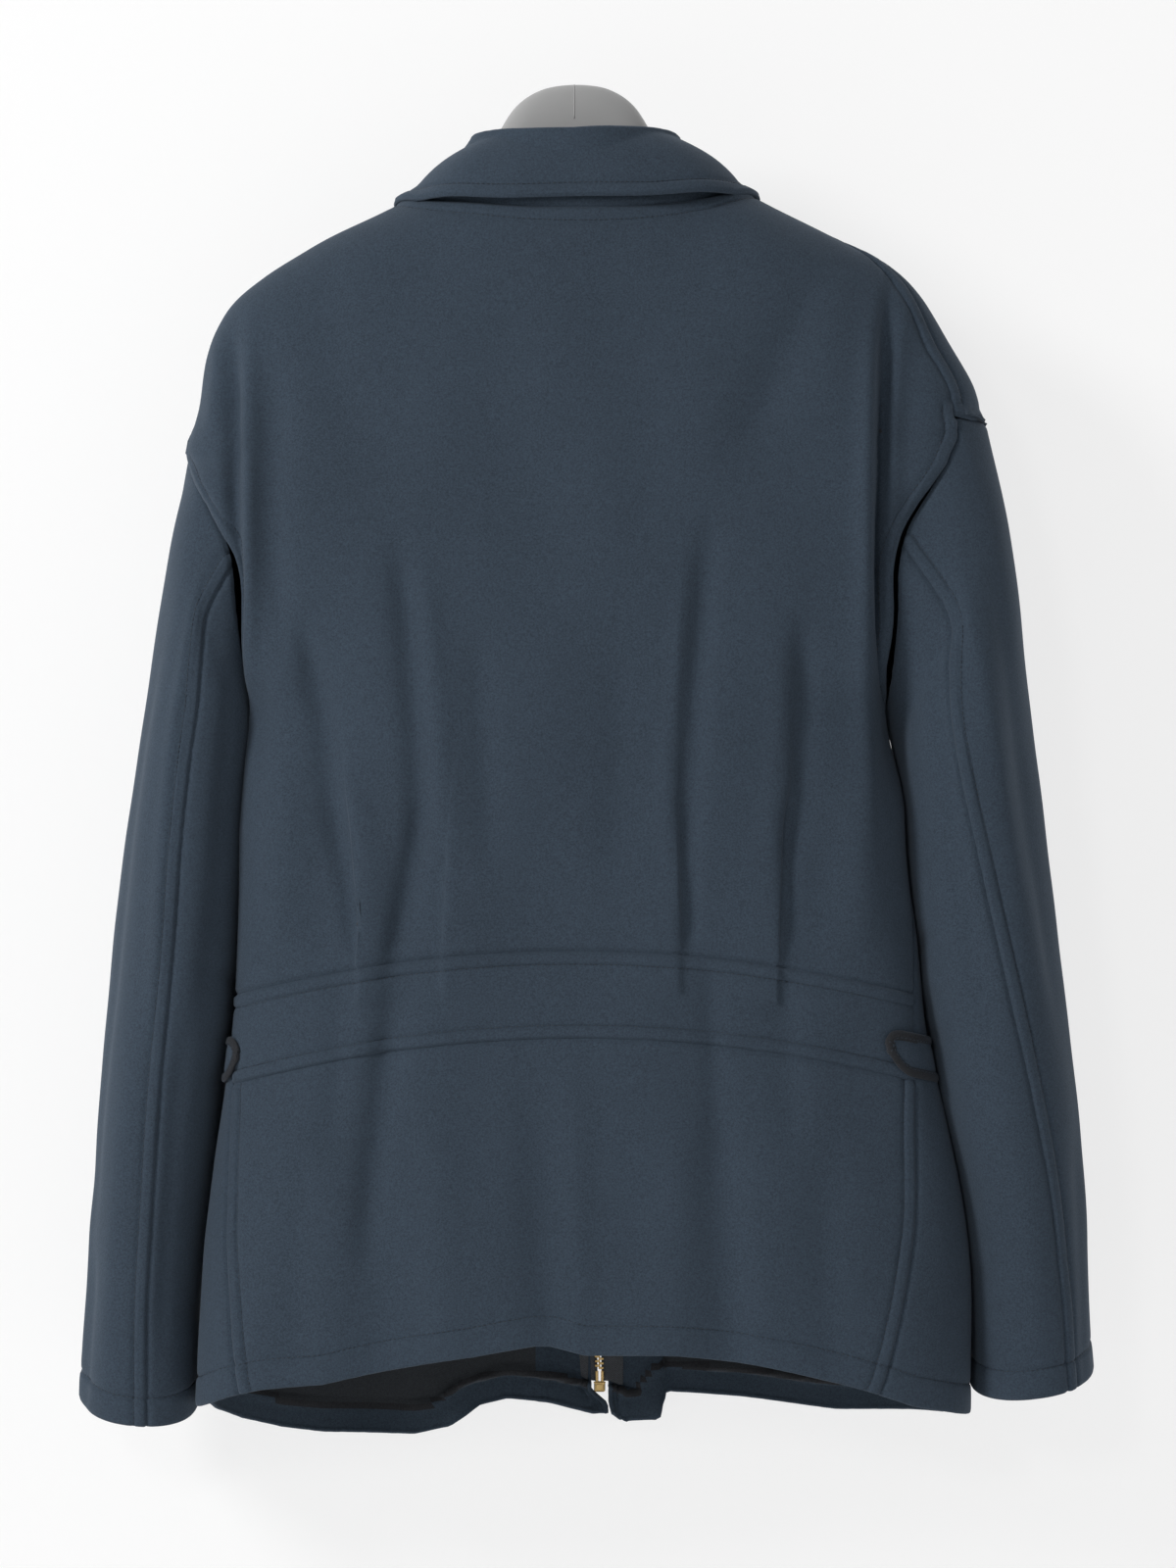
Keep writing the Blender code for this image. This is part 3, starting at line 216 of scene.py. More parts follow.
STAND_EASE = 0.8  # between the stand and the fall
STAND_HOLLOW = 2.0  # how far the stand bends in halfway up
COLLAR_FRONT_GAP = 1.5  # from the zip's middle to the stand's ends

# ---------------------------------------------------------------- zip and tabs

ZIP_TOP_X, ZIP_TOP_Z = 4, -122
ZIP_LOW_X, ZIP_LOW_Z = 16, -816
FRONT_EDGE = 5.5  # from the zip's middle to the edge of each front
CHAIN_THICK = 2.4
TAPE_REACH = 15
TAPE_WALL = 0.9
CHAIN_LIFT = -1.0  # of the chain's outer face, from the cloth's outer side
CHAIN_LIFT_MIDDLE = 2.2  # how far the box's middle lies inside the cloth's outer side
CHAIN_LOW_T, TAPE_LOW_T = 0.32, 0.245  # where they end, as places in SECTIONS
BOX_TOP_Z = -802.5
BOX_SIZE = (7.0, 3.4, 6.6)
PIN_SIZE = (1.9, 1.8, 7.2)
PIN_OFFSET = 1.4

TAB_T = 2.26  # the height of the tabs' middle, on the lower half of the band
TAB_HEIGHT = 28
TAB_ROUND = 14
TAB_START = 10  # how far round on the front the tab begins
TAB_WALL = 2.2
TAB_EASE = 0.45
Tab = namedtuple("Tab", "side reach")  # reach: from the ring's side end to the tab's tip
TABS = [Tab(LEFT, 50), Tab(RIGHT, 74)]

SLIDER_Z = -131
SLIDER_SIZE = (8.6, 4.6, 11.0)
SLIDER_FACE = 4.1  # its outer face, from the cloth's outer side
PULL_LIFT = 2.4  # from the slider's outer face to the pull's axis
PULL_SIZE = (6.0, 1.6, 27.0)
PULL_BAR = 1.6  # above its window
PULL_HOLE = (3.4, 4.6)

# ---------------------------------------------------------------- hanger

HangerRib = namedtuple("HangerRib", "x top depth height")
HANGER = [
    HangerRib(0, 0.0, 38, 74),
    HangerRib(10, -0.6, 38, 73),
    HangerRib(20, -2.8, 38, 71),
    HangerRib(30, -8.0, 38, 66),
    HangerRib(38, -15.5, 37, 60),
    HangerRib(45, -26.5, 35, 52),
    HangerRib(52, -39.0, 33, 44),
    HangerRib(64, -53.0, 32, 38),
    HangerRib(82, -67.0, 33, 34),
    HangerRib(106, -78.0, 38, 34),
    HangerRib(134, -88.0, 46, 35),
    HangerRib(162, -102.5, 48, 36),
    HangerRib(184, -115.0, 51, 36),
    HangerRib(196, -124.0, 48, 30),
    HangerRib(201, -133.0, 34, 16),
]
HANGER_TILT = 0.018  # its right side hangs higher, in mm for each mm of x
HANGER_ARM_X = 100  # its arms keep under the shoulders from here out
HANGER_EASE = 1.0
HANGER_SQUARE = 2.4

# ---------------------------------------------------------------- reading the tables


def height(name):
    return [section.name for section in SECTIONS].index(name)


def smooth_row(rows, at):
    """The table row at a fractional place, on a smooth curve through the rows (Catmull-Rom)."""
    last = len(rows) - 1
    at = min(max(at, 0.0), float(last))
    low = min(int(at), last - 1)
    part = at - low
    before, start, end, after = (
        np.array(rows[min(max(low + step, 0), last)], float) for step in (-1, 0, 1, 2)
    )
    slope_in, slope_out = (end - before) / 2, (after - start) / 2
    square, cube = part * part, part**3
    return (
        (2 * cube - 3 * square + 1) * start
        + (cube - 2 * square + part) * slope_in
        + (3 * square - 2 * cube) * end
        + (cube - square) * slope_out
    )


@lru_cache(maxsize=None)
def section(t):
    numbers = [row[1:] for row in SECTIONS]
    found = Section("", *smooth_row(numbers, t))
    if t <= height("underarm") or t >= height("cap"):
        return found._replace(end_back=0.0, end_front=0.0)
    return found


def seam_shift(side, t):
    """How far from the ring's side end the back piece stops at this height."""
    for table in (SIDE_SEAM, SHOULDER_SEAM):
        levels = [height(row.name) + row.plus for row in table]
        if levels[0] <= t <= levels[-1]:
            shifts = [row.left if side == LEFT else row.right for row in table]
            return float(np.interp(t, levels, shifts))
    return 0.0


def front_shift(side, t):
    """How far round on the back the front piece reaches. It differs only where the armhole opens."""
    share = (t - height("cap")) / (height("tip") - height("cap"))
    if t < height("cap") and t > height("underarm"):
        return 0.0
    return seam_shift(side, t) * min(share, 1.0) if share >= 0 else seam_shift(side, t)


def beyond(t, distance):
    """The height that lies this many millimetres further up the middle of the back."""
    step = FINE_STEP
    rise = (section(t + step).back_z - section(t - step).back_z) / (2 * step)
    return t + distance / rise


# ---------------------------------------------------------------- torso surface


def soft_step(value):
    value = np.clip(value, 0, 1)
    return value * value * (3 - 2 * value)


def bell(value, middle, width):
    """1 at the middle, falling softly to 0 beyond the width on both sides."""
    return np.exp(-(((value - middle) / width) ** 2))


def powered(value, power):
    """The value's size raised to a power, with its sign kept. It squares off a circle."""
    return np.sign(value) * np.abs(value) ** power


def turns(count):
    return np.linspace(0, 2 * math.pi, count, endpoint=False)


def fold_relief(face, x, z):
    """How far the soft folds stand out from the plain section."""
    out = np.zeros_like(x)
    for fold in FOLDS:
        if fold.face != face:
            continue
        along = (z - fold.low_z) / (fold.top_z - fold.low_z)
        line = fold.low_x + (fold.top_x - fold.low_x) * along
        inside = soft_step(along / 0.12 + 0.5) * soft_step((1 - along) / 0.12 + 0.5)
        strength = np.interp(along, [0, 0.3, 0.7, 1], [fold.at_low, 1, 1, fold.at_top])
        out += fold.height * strength * inside * bell(x, line, fold.width)
    return out


def pleat_x(pleat, t):
    """Where the pleat's fold lies at this height, drawn in with the narrower upper sections."""
    here = section(t)
    band_z = section(height("band_top")).back_z
    share = np.clip((here.back_z - band_z) / (pleat.high_z - band_z), 0, 1)
    half_width = (here.right_x - here.left_x) / 2
    line = pleat.low_x + (pleat.high_x - pleat.low_x) * share
    return line * min(1.0, half_width / CHEST_HALF_WIDTH)


def pleat_relief(t, x, z):
    out = np.zeros_like(x)
    band_z = section(height("band_top")).back_z
    for pleat in PLEATS:
        edge = pleat_x(pleat, t)
        inward = (edge - x) * math.copysign(1, edge)
        rise = np.clip((z - band_z) / (pleat.high_z - band_z), 0, 1)
        strength = np.interp(rise, [0, 0.15, 0.5, 1], [0.6, 1, 0.6, 0])
        slope = np.clip(1 - inward / PLEAT_RUN, 0, 1) ** 1.5
        fold = np.clip(inward / PLEAT_FOLD + 1, 0, 1)
        out += pleat.height * strength * slope * fold
    return out


def plain_arc(face, t):
    """The section's arc from its left end to its right end, with no folds."""
    s = section(t)
    turn = np.linspace(-math.pi / 2, math.pi / 2, DENSE)
    square = s.square
    if face == BACK:
        square += BACK_FLATTER * float(soft_step((height("underarm") - t) / BACK_FLATTER_FROM))
    across = powered(np.sin(turn), 2 / square)
    deep = np.abs(np.cos(turn)) ** (2 / square)
    end_y, mid_y, mid_z = s.end_back, s.back_y, s.back_z
    if face == FRONT:
        end_y, mid_y, mid_z = s.end_front, s.front_y, s.front_z
    share = (across + 1) / 2
    y = end_y + (mid_y - end_y) * deep
    z = s.left_z + (s.right_z - s.left_z) * share
    z += (mid_z - z) * (1 - across**2)
    if t < 1:
        places, drops = np.transpose(FRONT_HEM_DROPS if face == FRONT else BACK_HEM_DROPS)
        z -= np.interp(s.left_x + (s.right_x - s.left_x) * share, places, drops) * (1 - t) ** 2
    tuck = bell(y, end_y, TUCK_REACH)
    x = s.left_x + (s.right_x - s.left_x) * share
    x += np.where(across < 0, s.tuck_left, -s.tuck_right) * tuck
    return np.stack([x, y, z], axis=1)


def folded_arc(face, t):
    """The arc with its folds, moved out level along the plain arc's own normals."""
    points = plain_arc(face, t)
    along = np.gradient(points, axis=0)
    out = np.stack([along[:, 1], -along[:, 0], np.zeros(DENSE)], axis=1)
    if face == FRONT:
        out = -out
    out /= np.maximum(np.linalg.norm(out, axis=1, keepdims=True), 1e-6)
    relief = fold_relief(face, points[:, 0], points[:, 2])
    if face == BACK and t >= height("band_top") - 0.5:
        relief += pleat_relief(t, points[:, 0], points[:, 2])
    return points + out * relief[:, None]


@lru_cache(maxsize=None)
def arc(face, t):
    """Dense points of the arc and the cloth's outward normals there."""
    step = 0.05
    points = folded_arc(face, t)
    up = folded_arc(face, min(t + step, len(SECTIONS) - 1)) - folded_arc(face, max(t - step, 0))
    along = np.gradient(points, axis=0)
    normals = np.cross(along, up)
    if face == FRONT:
        normals = -normals
    return points, unit(normals)


def unit(vectors):
    return vectors / np.maximum(np.linalg.norm(vectors, axis=-1, keepdims=True), 1e-9)


def lengths_along(points):
    steps = np.linalg.norm(np.diff(points, axis=0), axis=1)
    return np.concatenate([[0.0], np.cumsum(steps)])


def sample(values, lengths, stations):
    """Rows of values at these lengths along the line."""
    return np.stack([np.interp(stations, lengths, column) for column in values.T], axis=1)


def length_at_x(points, lengths, x):
    """Where an arc that runs from left to right passes this x."""
    order = np.maximum.accumulate(points[:, 0])
    return float(np.interp(x, order, lengths))


def spread(anchors, counts):
    """Places from each anchor to the next, in equal steps."""
    parts = [
        np.linspace(start, end, count, endpoint=False)
        for start, end, count in zip(anchors, anchors[1:], counts)
    ]
    return np.concatenate(parts + [[anchors[-1]]])


# ---------------------------------------------------------------- rows of the torso's pieces


def zip_x(t):
    """The zip's middle runs straight from the neck to the hem."""
    z = section(t).front_z
    return float(np.interp(z, [ZIP_LOW_Z, ZIP_TOP_Z], [ZIP_LOW_X, ZIP_TOP_X]))


def exact_ends(points, normals, side, t, shift, middle):
    """Adds the front's two true ends, at its seam and at the zip, to the dense points inside."""
    face = BACK if shift else FRONT
    arc_points, arc_normals = arc(face, t)
    lengths = lengths_along(arc_points)
    inset = shift - SEAM_GAP / 2 if shift else SEAM_GAP / 2
    place = inset if side == LEFT else lengths[-1] - inset
    seam = sample(arc_points, lengths, [place]), sample(arc_normals, lengths, [place])
    arc_points, arc_normals = arc(FRONT, t)
    lengths = lengths_along(arc_points)
    place = length_at_x(arc_points, lengths, middle)
    at_zip = sample(arc_points, lengths, [place]), sample(arc_normals, lengths, [place])
    first, last = (seam, at_zip) if side == RIGHT else (at_zip, seam)
    inner = slice(1, -1)
    points = np.concatenate([first[0], points[inner], last[0]])
    normals = np.concatenate([first[1], normals[inner], last[1]])
    return points, normals


def zip_row(side, t, near, far, columns):
    """Along the inside of the front, from near to far millimetres from the zip's middle."""
    points, normals = arc(FRONT, t)
    lengths = lengths_along(points)
    middle = length_at_x(points, lengths, zip_x(t))
    stations = np.sort(middle + side * np.linspace(near, far, columns + 1))[::-1]
    return sample(points, lengths, stations), sample(normals, lengths, stations)


def ring_place(side, t, distance):
    """A point and its normal on the ring, this far from its side end: on the back, or below 0 on
    the front."""
    points, normals = arc(BACK if distance >= 0 else FRONT, t)
    lengths = lengths_along(points)
    place = abs(distance) if side == LEFT else lengths[-1] - abs(distance)
    return sample(points, lengths, [place])[0], sample(normals, lengths, [place])[0]


@lru_cache(maxsize=None)
def shoulder_cloud():
    """Dense points and normals of the torso above the armholes."""
    found = [
        arc(face, float(t))
        for t in np.arange(height("tip") + 1, len(SECTIONS) - 0.99, 0.125)
        for face in (BACK, FRONT)
    ]
    return np.concatenate([f[0] for f in found]), np.concatenate([f[1] for f in found])


def distances_out(points):
    """How far each point lies outside the torso's shoulders, and the way out there."""
    cloud, normals = shoulder_cloud()
    nearest = np.array([((cloud - point) ** 2).sum(axis=1).argmin() for point in points])
    out = normals[nearest]
    return ((points - cloud[nearest]) * out).sum(axis=1), out


def lay_on_shoulders(points, lift):
    """Moves out the points that lie lower than lift over the shoulders."""
    distance, out = distances_out(points)
    return points + out * np.maximum(lift - distance, 0)[:, None]


def keep_under_shoulders(points, depth):
    """Moves in the points that lie less than depth below the shoulders' outer side."""
    distance, out = distances_out(points)
    return points - out * np.maximum(distance + depth, 0)[:, None]


def armhole_half(side, face):
    """The armhole's edge from its top down to the underarm, round the shoulder seam's end."""
    cap, tip, underarm = height("cap"), height("tip"), height("underarm")
    down = [float(t) for t in np.linspace(cap, underarm, SLEEVE_AROUND)]
    if face == FRONT:
        end = 0 if side == LEFT else -1
        return np.array([arc(FRONT, t)[0][end] for t in down])
    edge = [back_cut(side, t) for t in down]
    if seam_shift(side, tip):
        over = [float(t) for t in np.linspace(cap, tip, 9)]
        top = [ring_place(side, t, front_shift(side, t))[0] for t in over]
        edge = top + [back_cut(side, t) for t in over[-2:0:-1]] + edge
    return np.array(edge)


def back_cut(side, t):
    """Where the sleeve meets the back's edge: a little short of it where the edge lies round."""
    return ring_place(side, t, max(seam_shift(side, t) - CUT_EASE, 0.0))[0]


def oval_half(ring, face):
    """Half of a sleeve's ring, from its outer end to its inner end."""
    turn = np.linspace(0, math.pi, SLEEVE_AROUND)
    across = powered(np.cos(turn), 2 / SLEEVE_SQUARE)
    deep = np.abs(np.sin(turn)) ** (2 / SLEEVE_SQUARE)
    share = (1 - across) / 2
    x = ring.outer_x + (ring.inner_x - ring.outer_x) * share
    z = ring.outer_z + (ring.inner_z - ring.outer_z) * share
    y = ring.mid_y + (ring.half_depth if face == FRONT else -ring.half_depth) * deep
    if face == BACK:
        z = z + ring.dip * deep
    return np.stack([x, y, z], axis=1)


def even(points, count):
    lengths = lengths_along(points)
    return sample(points, lengths, np.linspace(0, lengths[-1], count))


def sleeve_surface(side, table, per_ring):
    """Dense closed rings from the cuff up to the armhole, and their outward normals."""
    rings = []
    for ring in table:
        back, front = (even(oval_half(ring, face), SLEEVE_AROUND) for face in (BACK, FRONT))
        rings.append(np.concatenate([back, front[-2:0:-1]]))
    back, front = (even(armhole_half(side, face), SLEEVE_AROUND) for face in (BACK, FRONT))
    armhole = np.concatenate([back, front[-2:0:-1]])
    away = unit(rings[0] - armhole)
    rings.insert(0, armhole + away * ARMHOLE_EASE)
    flat = [ring.reshape(-1) for ring in rings]
    places = np.linspace(len(rings) - 1, 0, (len(rings) - 1) * per_ring + 1)
    surface = np.array([smooth_row(flat, at).reshape(-1, 3) for at in places])
    seams = [table[0].seam] + [ring.seam for ring in table]
    seams = [float(smooth_row([[seam] for seam in seams], at)[0]) for at in places]
    if side == RIGHT:
        surface = np.roll(surface[:, ::-1], 1, axis=1)
    around = np.roll(surface, -1, axis=1) - np.roll(surface, 1, axis=1)
    normals = unit(np.cross(around, np.gradient(surface, axis=0)))
    return surface, normals, seams


def collar_half(kind, count):
    """The fold line or the fall's edge from the back's middle to one front, evenly spaced."""
    columns = slice(0, 3) if kind == "fold" else slice(3, 6)
    dense = np.linspace(0, len(COLLAR) - 1, 120)
    return even(np.array([smooth_row(COLLAR, at)[columns] for at in dense]), count)


def collar_ring(half):
    """A whole line from the viewer's left front, round the back, to the right front."""
    mirrored = half[:0:-1] * [-1, 1, 1]
    whole = np.concatenate([mirrored, half])
    whole[:, 0] += ZIP_TOP_X * np.abs(np.linspace(-1, 1, len(whole)))
    whole[:, 2] += whole[:, 0] * COLLAR_TILT
    return whole


# ---------------------------------------------------------------- fine grids

CELL = 3.4  # the shells' usual cell
EDGE_STEPS = [0, 0.6, 1.3, 2.2, 3.4, 5.0, 6.6, 7.5, 8.3, 9.4, 11.5]
HEM_STEPS = [0, 0.5, 1.2, 2.2, 4.0, 7.0, 10.0, 13.0, 15.0, 16.2, 17.0, 17.8, 19.0, 21.0]
STITCH_IN = 8.0  # topstitching, from its seam
FACING = 33  # the facing inside each front, from its edge
BACK_WIDTH, FRONT_WIDTH, SLEEVE_WIDTH = 560, 330, 165  # about what the cells fill across a piece
PLEAT_COUNTS = [34, 1, 4, 1, 16, 1, 4, 1, 38, 1, 4, 1, 16, 1, 4, 1, 34]  # cells between the anchors
PLEAT_NEAR, PLEAT_WIDE = 0.3, 2.5  # where a pleat's fold has rows of its own, from its two sides


def stations(start, end, anchors, counts, low_steps=EDGE_STEPS, high_steps=EDGE_STEPS):
    """Places from start to end, close together at both ends, and even from anchor to anchor."""
    low = start + np.array(low_steps)
    high = (end - np.array(high_steps))[::-1]
    middle = spread([low[-1], *anchors, high[0]], counts)
    return np.concatenate([low[:-1], middle, high[1:]])


@lru_cache(maxsize=None)
def climb(low, high):
    """Dense heights between low and high, and how many millimetres up the cloth each lies."""
    dense = np.linspace(low, high, int((high - low) / FINE_STEP) + 2)
    picks = [int(DENSE * share) for share in (0.12, 0.3, 0.5, 0.7, 0.88)]
    lines = np.array([
        np.concatenate([plain_arc(face, float(t))[picks] for face in (BACK, FRONT)]) for t in dense
    ])
    steps = np.linalg.norm(np.diff(lines, axis=0), axis=2).mean(axis=1)
    return dense, np.concatenate([[0.0], np.cumsum(steps)])


def levels_between(low, high, low_steps=EDGE_STEPS, high_steps=EDGE_STEPS):
    dense, up = climb(low, high)
    count = max(int((up[-1] - low_steps[-1] - high_steps[-1]) / CELL), 1)
    places = stations(0, up[-1], [], [count], low_steps, high_steps)
    return [float(t) for t in np.interp(places, up, dense)]


def fine_back_row(t, pleated):
    points, normals = arc(BACK, t)
    lengths = lengths_along(points)
    start = seam_shift(LEFT, t) + SEAM_GAP / 2
    end = lengths[-1] - seam_shift(RIGHT, t) - SEAM_GAP / 2
    anchors, counts = [], [int(BACK_WIDTH / CELL)]
    if pleated:
        for pleat in PLEATS:
            edge = pleat_x(pleat, t)
            steps = [-PLEAT_WIDE, -PLEAT_NEAR, PLEAT_FOLD + PLEAT_NEAR, PLEAT_FOLD + PLEAT_WIDE]
            spots = [edge + step * math.copysign(1, edge) for step in steps]
            anchors += [length_at_x(points, lengths, x) for x in sorted(spots)]
        counts = PLEAT_COUNTS
    places = stations(start, end, anchors, counts)
    return sample(points, lengths, places), sample(normals, lengths, places)


def fine_front_row(side, t):
    """Across one front, with the strip that lies round on the back. It runs anticlockwise."""
    front, front_normals = (values[::-1] for values in arc(FRONT, t))
    back, back_normals = arc(BACK, t)
    back_lengths = lengths_along(back)
    shift = front_shift(side, t)
    middle = front_edge_x(side, t)
    keep = front[:, 0] * side > middle * side
    if side == RIGHT:
        strip = back_lengths > back_lengths[-1] - shift
        order = [(back[strip], back_normals[strip]), (front[keep], front_normals[keep])]
    else:
        strip = back_lengths < shift
        order = [(front[keep], front_normals[keep]), (back[strip], back_normals[strip])]
    order = order if shift else [(front[keep], front_normals[keep])]
    points = np.concatenate([part[0] for part in order])
    normals = np.concatenate([part[1] for part in order])
    points, normals = exact_ends(points, normals, side, t, shift, middle)
    lengths = lengths_along(points)
    places = stations(0, lengths[-1], [], [int(FRONT_WIDTH / CELL)])
    return sample(points, lengths, places), sample(normals, lengths, places)


def front_edge_x(side, t):
    """The fronts' edges beside the zip. Below its box they turn in, and the left one reaches over."""
    heights, reaches = SLIT[side]
    return zip_x(t) + float(np.interp(section(t).front_z, heights, reaches))


# How high the fronts' edges turn in below the zip's box, and how far from its middle they are there.
SLIT = {
    LEFT: ([-824, -811, -803], [5.8, 4.5, -FRONT_EDGE]),
    RIGHT: ([-826, -811, -803], [10.6, FRONT_EDGE, FRONT_EDGE]),
}


# ---------------------------------------------------------------- relief of the cloth

# A soft crease runs through three points (x, z) and is highest in its middle.
Crease = namedtuple("Crease", "face x1 z1 x2 z2 x3 z3 width height")
CREASES = [
    # the folds down both sides of the back
    Crease(BACK, -196, -140, -195, -270, -195, -460, 5, 4.1),
    Crease(BACK, -207, -150, -205, -240, -203, -350, 5, -7),
    Crease(BACK, -181, -160, -181, -260, -176, -370, 9, -4.1),
    Crease(BACK, 180, -130, 175, -250, 178, -470, 6.5, 4.2),
    Crease(BACK, 196, -143, 185.5, -240, 195, -390, 2.6, -5.5),
    Crease(BACK, 192, -120, 185.5, -220, 188, -350, 5, -9),
    Crease(BACK, 205, -140, 199, -230, 195, -340, 11, -5),
    Crease(BACK, 187, -310, 190, -380, 194, -440, 5, -4.1),
    # those that run up from the pleats
    Crease(BACK, -107, -270, -96, -370, -91, -480, 8, -4.6),
    Crease(BACK, -92, -290, -82, -380, -77, -480, 8, 2.2),
    Crease(BACK, -91, -430, -99, -495, -112, -550, 7, -4.3),
    Crease(BACK, -106, -540, -117, -610, -126, -730, 9, -3.8),
    Crease(BACK, -166, -320, -149, -395, -143, -480, 8, -4.1),
    Crease(BACK, -144, -440, -137, -490, -128, -535, 6, -3),
    Crease(BACK, -152, -400, -128, -440, -120, -500, 9, 1.6),
    Crease(BACK, -58, -330, -54, -400, -48, -490, 9, -2.3),
    Crease(BACK, 83, -260, 73, -355, 68, -470, 8, -4.6),
    Crease(BACK, 69, -290, 60, -370, 54, -480, 8, 2.2),
    Crease(BACK, 69, -430, 69, -480, 70, -534, 6, -3.5),
    Crease(BACK, 137, -320, 138, -400, 131, -480, 8, -3.8),
    Crease(BACK, 122, -330, 122, -400, 115, -490, 8, 1.6),
    Crease(BACK, 131, -430, 129, -480, 130, -534, 6, -3),
    Crease(BACK, 30, -330, 26, -420, 22, -500, 12, -1.8),
    # band and skirt
    Crease(BACK, 80, -530, 84, -590, 88, -660, 8, -2.4),
    Crease(BACK, 126, -530, 128, -590, 132, -660, 10, -2),
    Crease(BACK, -140, -530, -142, -590, -146, -660, 9, -1.9),
    Crease(BACK, -26, -580, -20, -680, -14, -790, 13, -3),
    Crease(BACK, 0, -590, 4, -690, 6, -790, 9, 1.8),
    Crease(BACK, 86, -620, 92, -700, 99, -790, 13, -3.2),
    Crease(BACK, 62, -610, 62, -700, 64, -790, 14, 1.6),
    Crease(BACK, 152, -640, 152, -710, 158, -800, 13, -2.2),
    Crease(BACK, -78, -620, -80, -700, -76, -790, 14, 1.9),
    Crease(BACK, -160, -640, -166, -710, -170, -800, 12, -1.9),
    # shoulders and yoke
    Crease(BACK, 146, -112, 126, -175, 98, -235, 15, -3),
    Crease(BACK, -150, -118, -146, -170, -130, -230, 16, -1.9),
    Crease(BACK, -30, -110, -40, -200, -46, -300, 26, -1.9),
    Crease(BACK, 52, -110, 40, -200, 44, -300, 22, -1.6),
    Crease(BACK, -214, -150, -216, -185, -220, -220, 5, 2.2),
    # the hidden front
    Crease(FRONT, -70, -170, -92, -330, -96, -470, 14, -4.6),
    Crease(FRONT, 74, -170, 90, -330, 92, -470, 14, -4.6),
    Crease(FRONT, -46, -200, -62, -340, -66, -480, 12, 2.4),
    Crease(FRONT, 54, -200, 64, -340, 66, -480, 12, 2.4),
    Crease(FRONT, -146, -230, -158, -330, -156, -450, 10, -4.3),
    Crease(FRONT, 146, -230, 156, -330, 152, -450, 10, -4.3),
    Crease(FRONT, -122, -420, -112, -560, -122, -720, 11, 3.5),
    Crease(FRONT, 112, -420, 118, -560, 108, -720, 11, 3.5),
    Crease(FRONT, -32, -400, -38, -560, -32, -740, 12, -3),
    Crease(FRONT, 50, -380, 54, -560, 50, -740, 12, -3),
    Crease(FRONT, -166, -540, -172, -680, -168, -810, 10, -3.5),
    Crease(FRONT, 176, -540, 172, -680, 176, -810, 10, -3.5),
    Crease(FRONT, -60, -640, -72, -720, -78, -815, 9, 3.2),
    Crease(FRONT, 52, -700, 56, -760, 58, -815, 5, 3.5),
]
# Waves of the whole cloth: their lengths across and down, height and phase.
Drift = namedtuple("Drift", "across down height phase")
DRIFTS = [
    Drift(210, 330, 0.8, 0.3),
    Drift(126, -270, 0.55, 1.9),
    Drift(83, 240, 0.4, 4.1),
    Drift(57, -190, 0.22, 2.6),
    Drift(900, 61, 0.12, 0.8),
]


def crease_relief(face, points):
    x, z = points[..., 0], points[..., 2]
    out = np.zeros_like(x)
    for row in CREASES:
        if row.face != face:
            continue
        along = (z - row.z1) / (row.z3 - row.z1)
        bend = row.x2 - (row.x1 + row.x3) / 2
        line = row.x1 + (row.x3 - row.x1) * along + 4 * bend * along * (1 - along)
        strength = soft_step(np.minimum(along, 1 - along) / 0.3 + 0.15)
        out += row.height * strength * bell(x, line, row.width)
    return out


def drift_relief(points):
    x, y, z = (points[..., axis] for axis in range(3))
    out = np.zeros_like(x)
    for row in DRIFTS:
        turn = 2 * math.pi * ((x + 0.7 * y) / row.across + z / row.down)
        out += row.height * np.sin(turn + row.phase)
    return out


# Where the sides stand out to the sleeves. reach is how far up and down from the middle (y, z).
SIDE_DEPTH = 20  # and to the back and front
SideFold = namedtuple("SideFold", "side y z reach height")
SIDE_FOLDS = [
    SideFold(RIGHT, -24, -425, 46, 4.5),
    SideFold(RIGHT, -24, -525, 44, 4.0),
    SideFold(RIGHT, -20, -690, 90, 3.0),
    SideFold(LEFT, -24, -440, 50, 2.5),
    SideFold(LEFT, -20, -690, 80, 2.5),
]


def side_relief(points, normals):
    out = np.zeros(points.shape[:2])
    for row in SIDE_FOLDS:
        facing = np.clip(normals[..., 0] * row.side, 0, 1) ** 2
        near = bell(points[..., 1], row.y, SIDE_DEPTH) * bell(points[..., 2], row.z, row.reach)
        out += row.height * facing * near
    return out


def torso_relief(points, normals):
    back = soft_step(0.5 - normals[..., 1] * 1.5)
    out = crease_relief(BACK, points) * back + crease_relief(FRONT, points) * (1 - back)
    return out + drift_relief(points) + side_relief(points, normals)


# ---------------------------------------------------------------- seams

# A piece's edge: which side of the grid, from where to where along it, and how it is sewn.
Edge = namedtuple("Edge", "side start end style")
BOTTOM, TOP, FIRST, LAST = "bottom", "top", "first", "last"
DISTANCE_BATCH = 4000  # points measured at once, to save memory
PLAIN, STITCHED, OVER, UNDER, HEM = "plain", "stitched", "over", "under", "hem"


def edge_line(values, edge):
    line = {
        BOTTOM: values[0],
        TOP: values[-1],
        FIRST: values[:, 0],
        LAST: values[:, -1],
    }[edge.side]
    count = len(line)
    return line[int(edge.start * (count - 1)) : int(math.ceil(edge.end * (count - 1))) + 1]


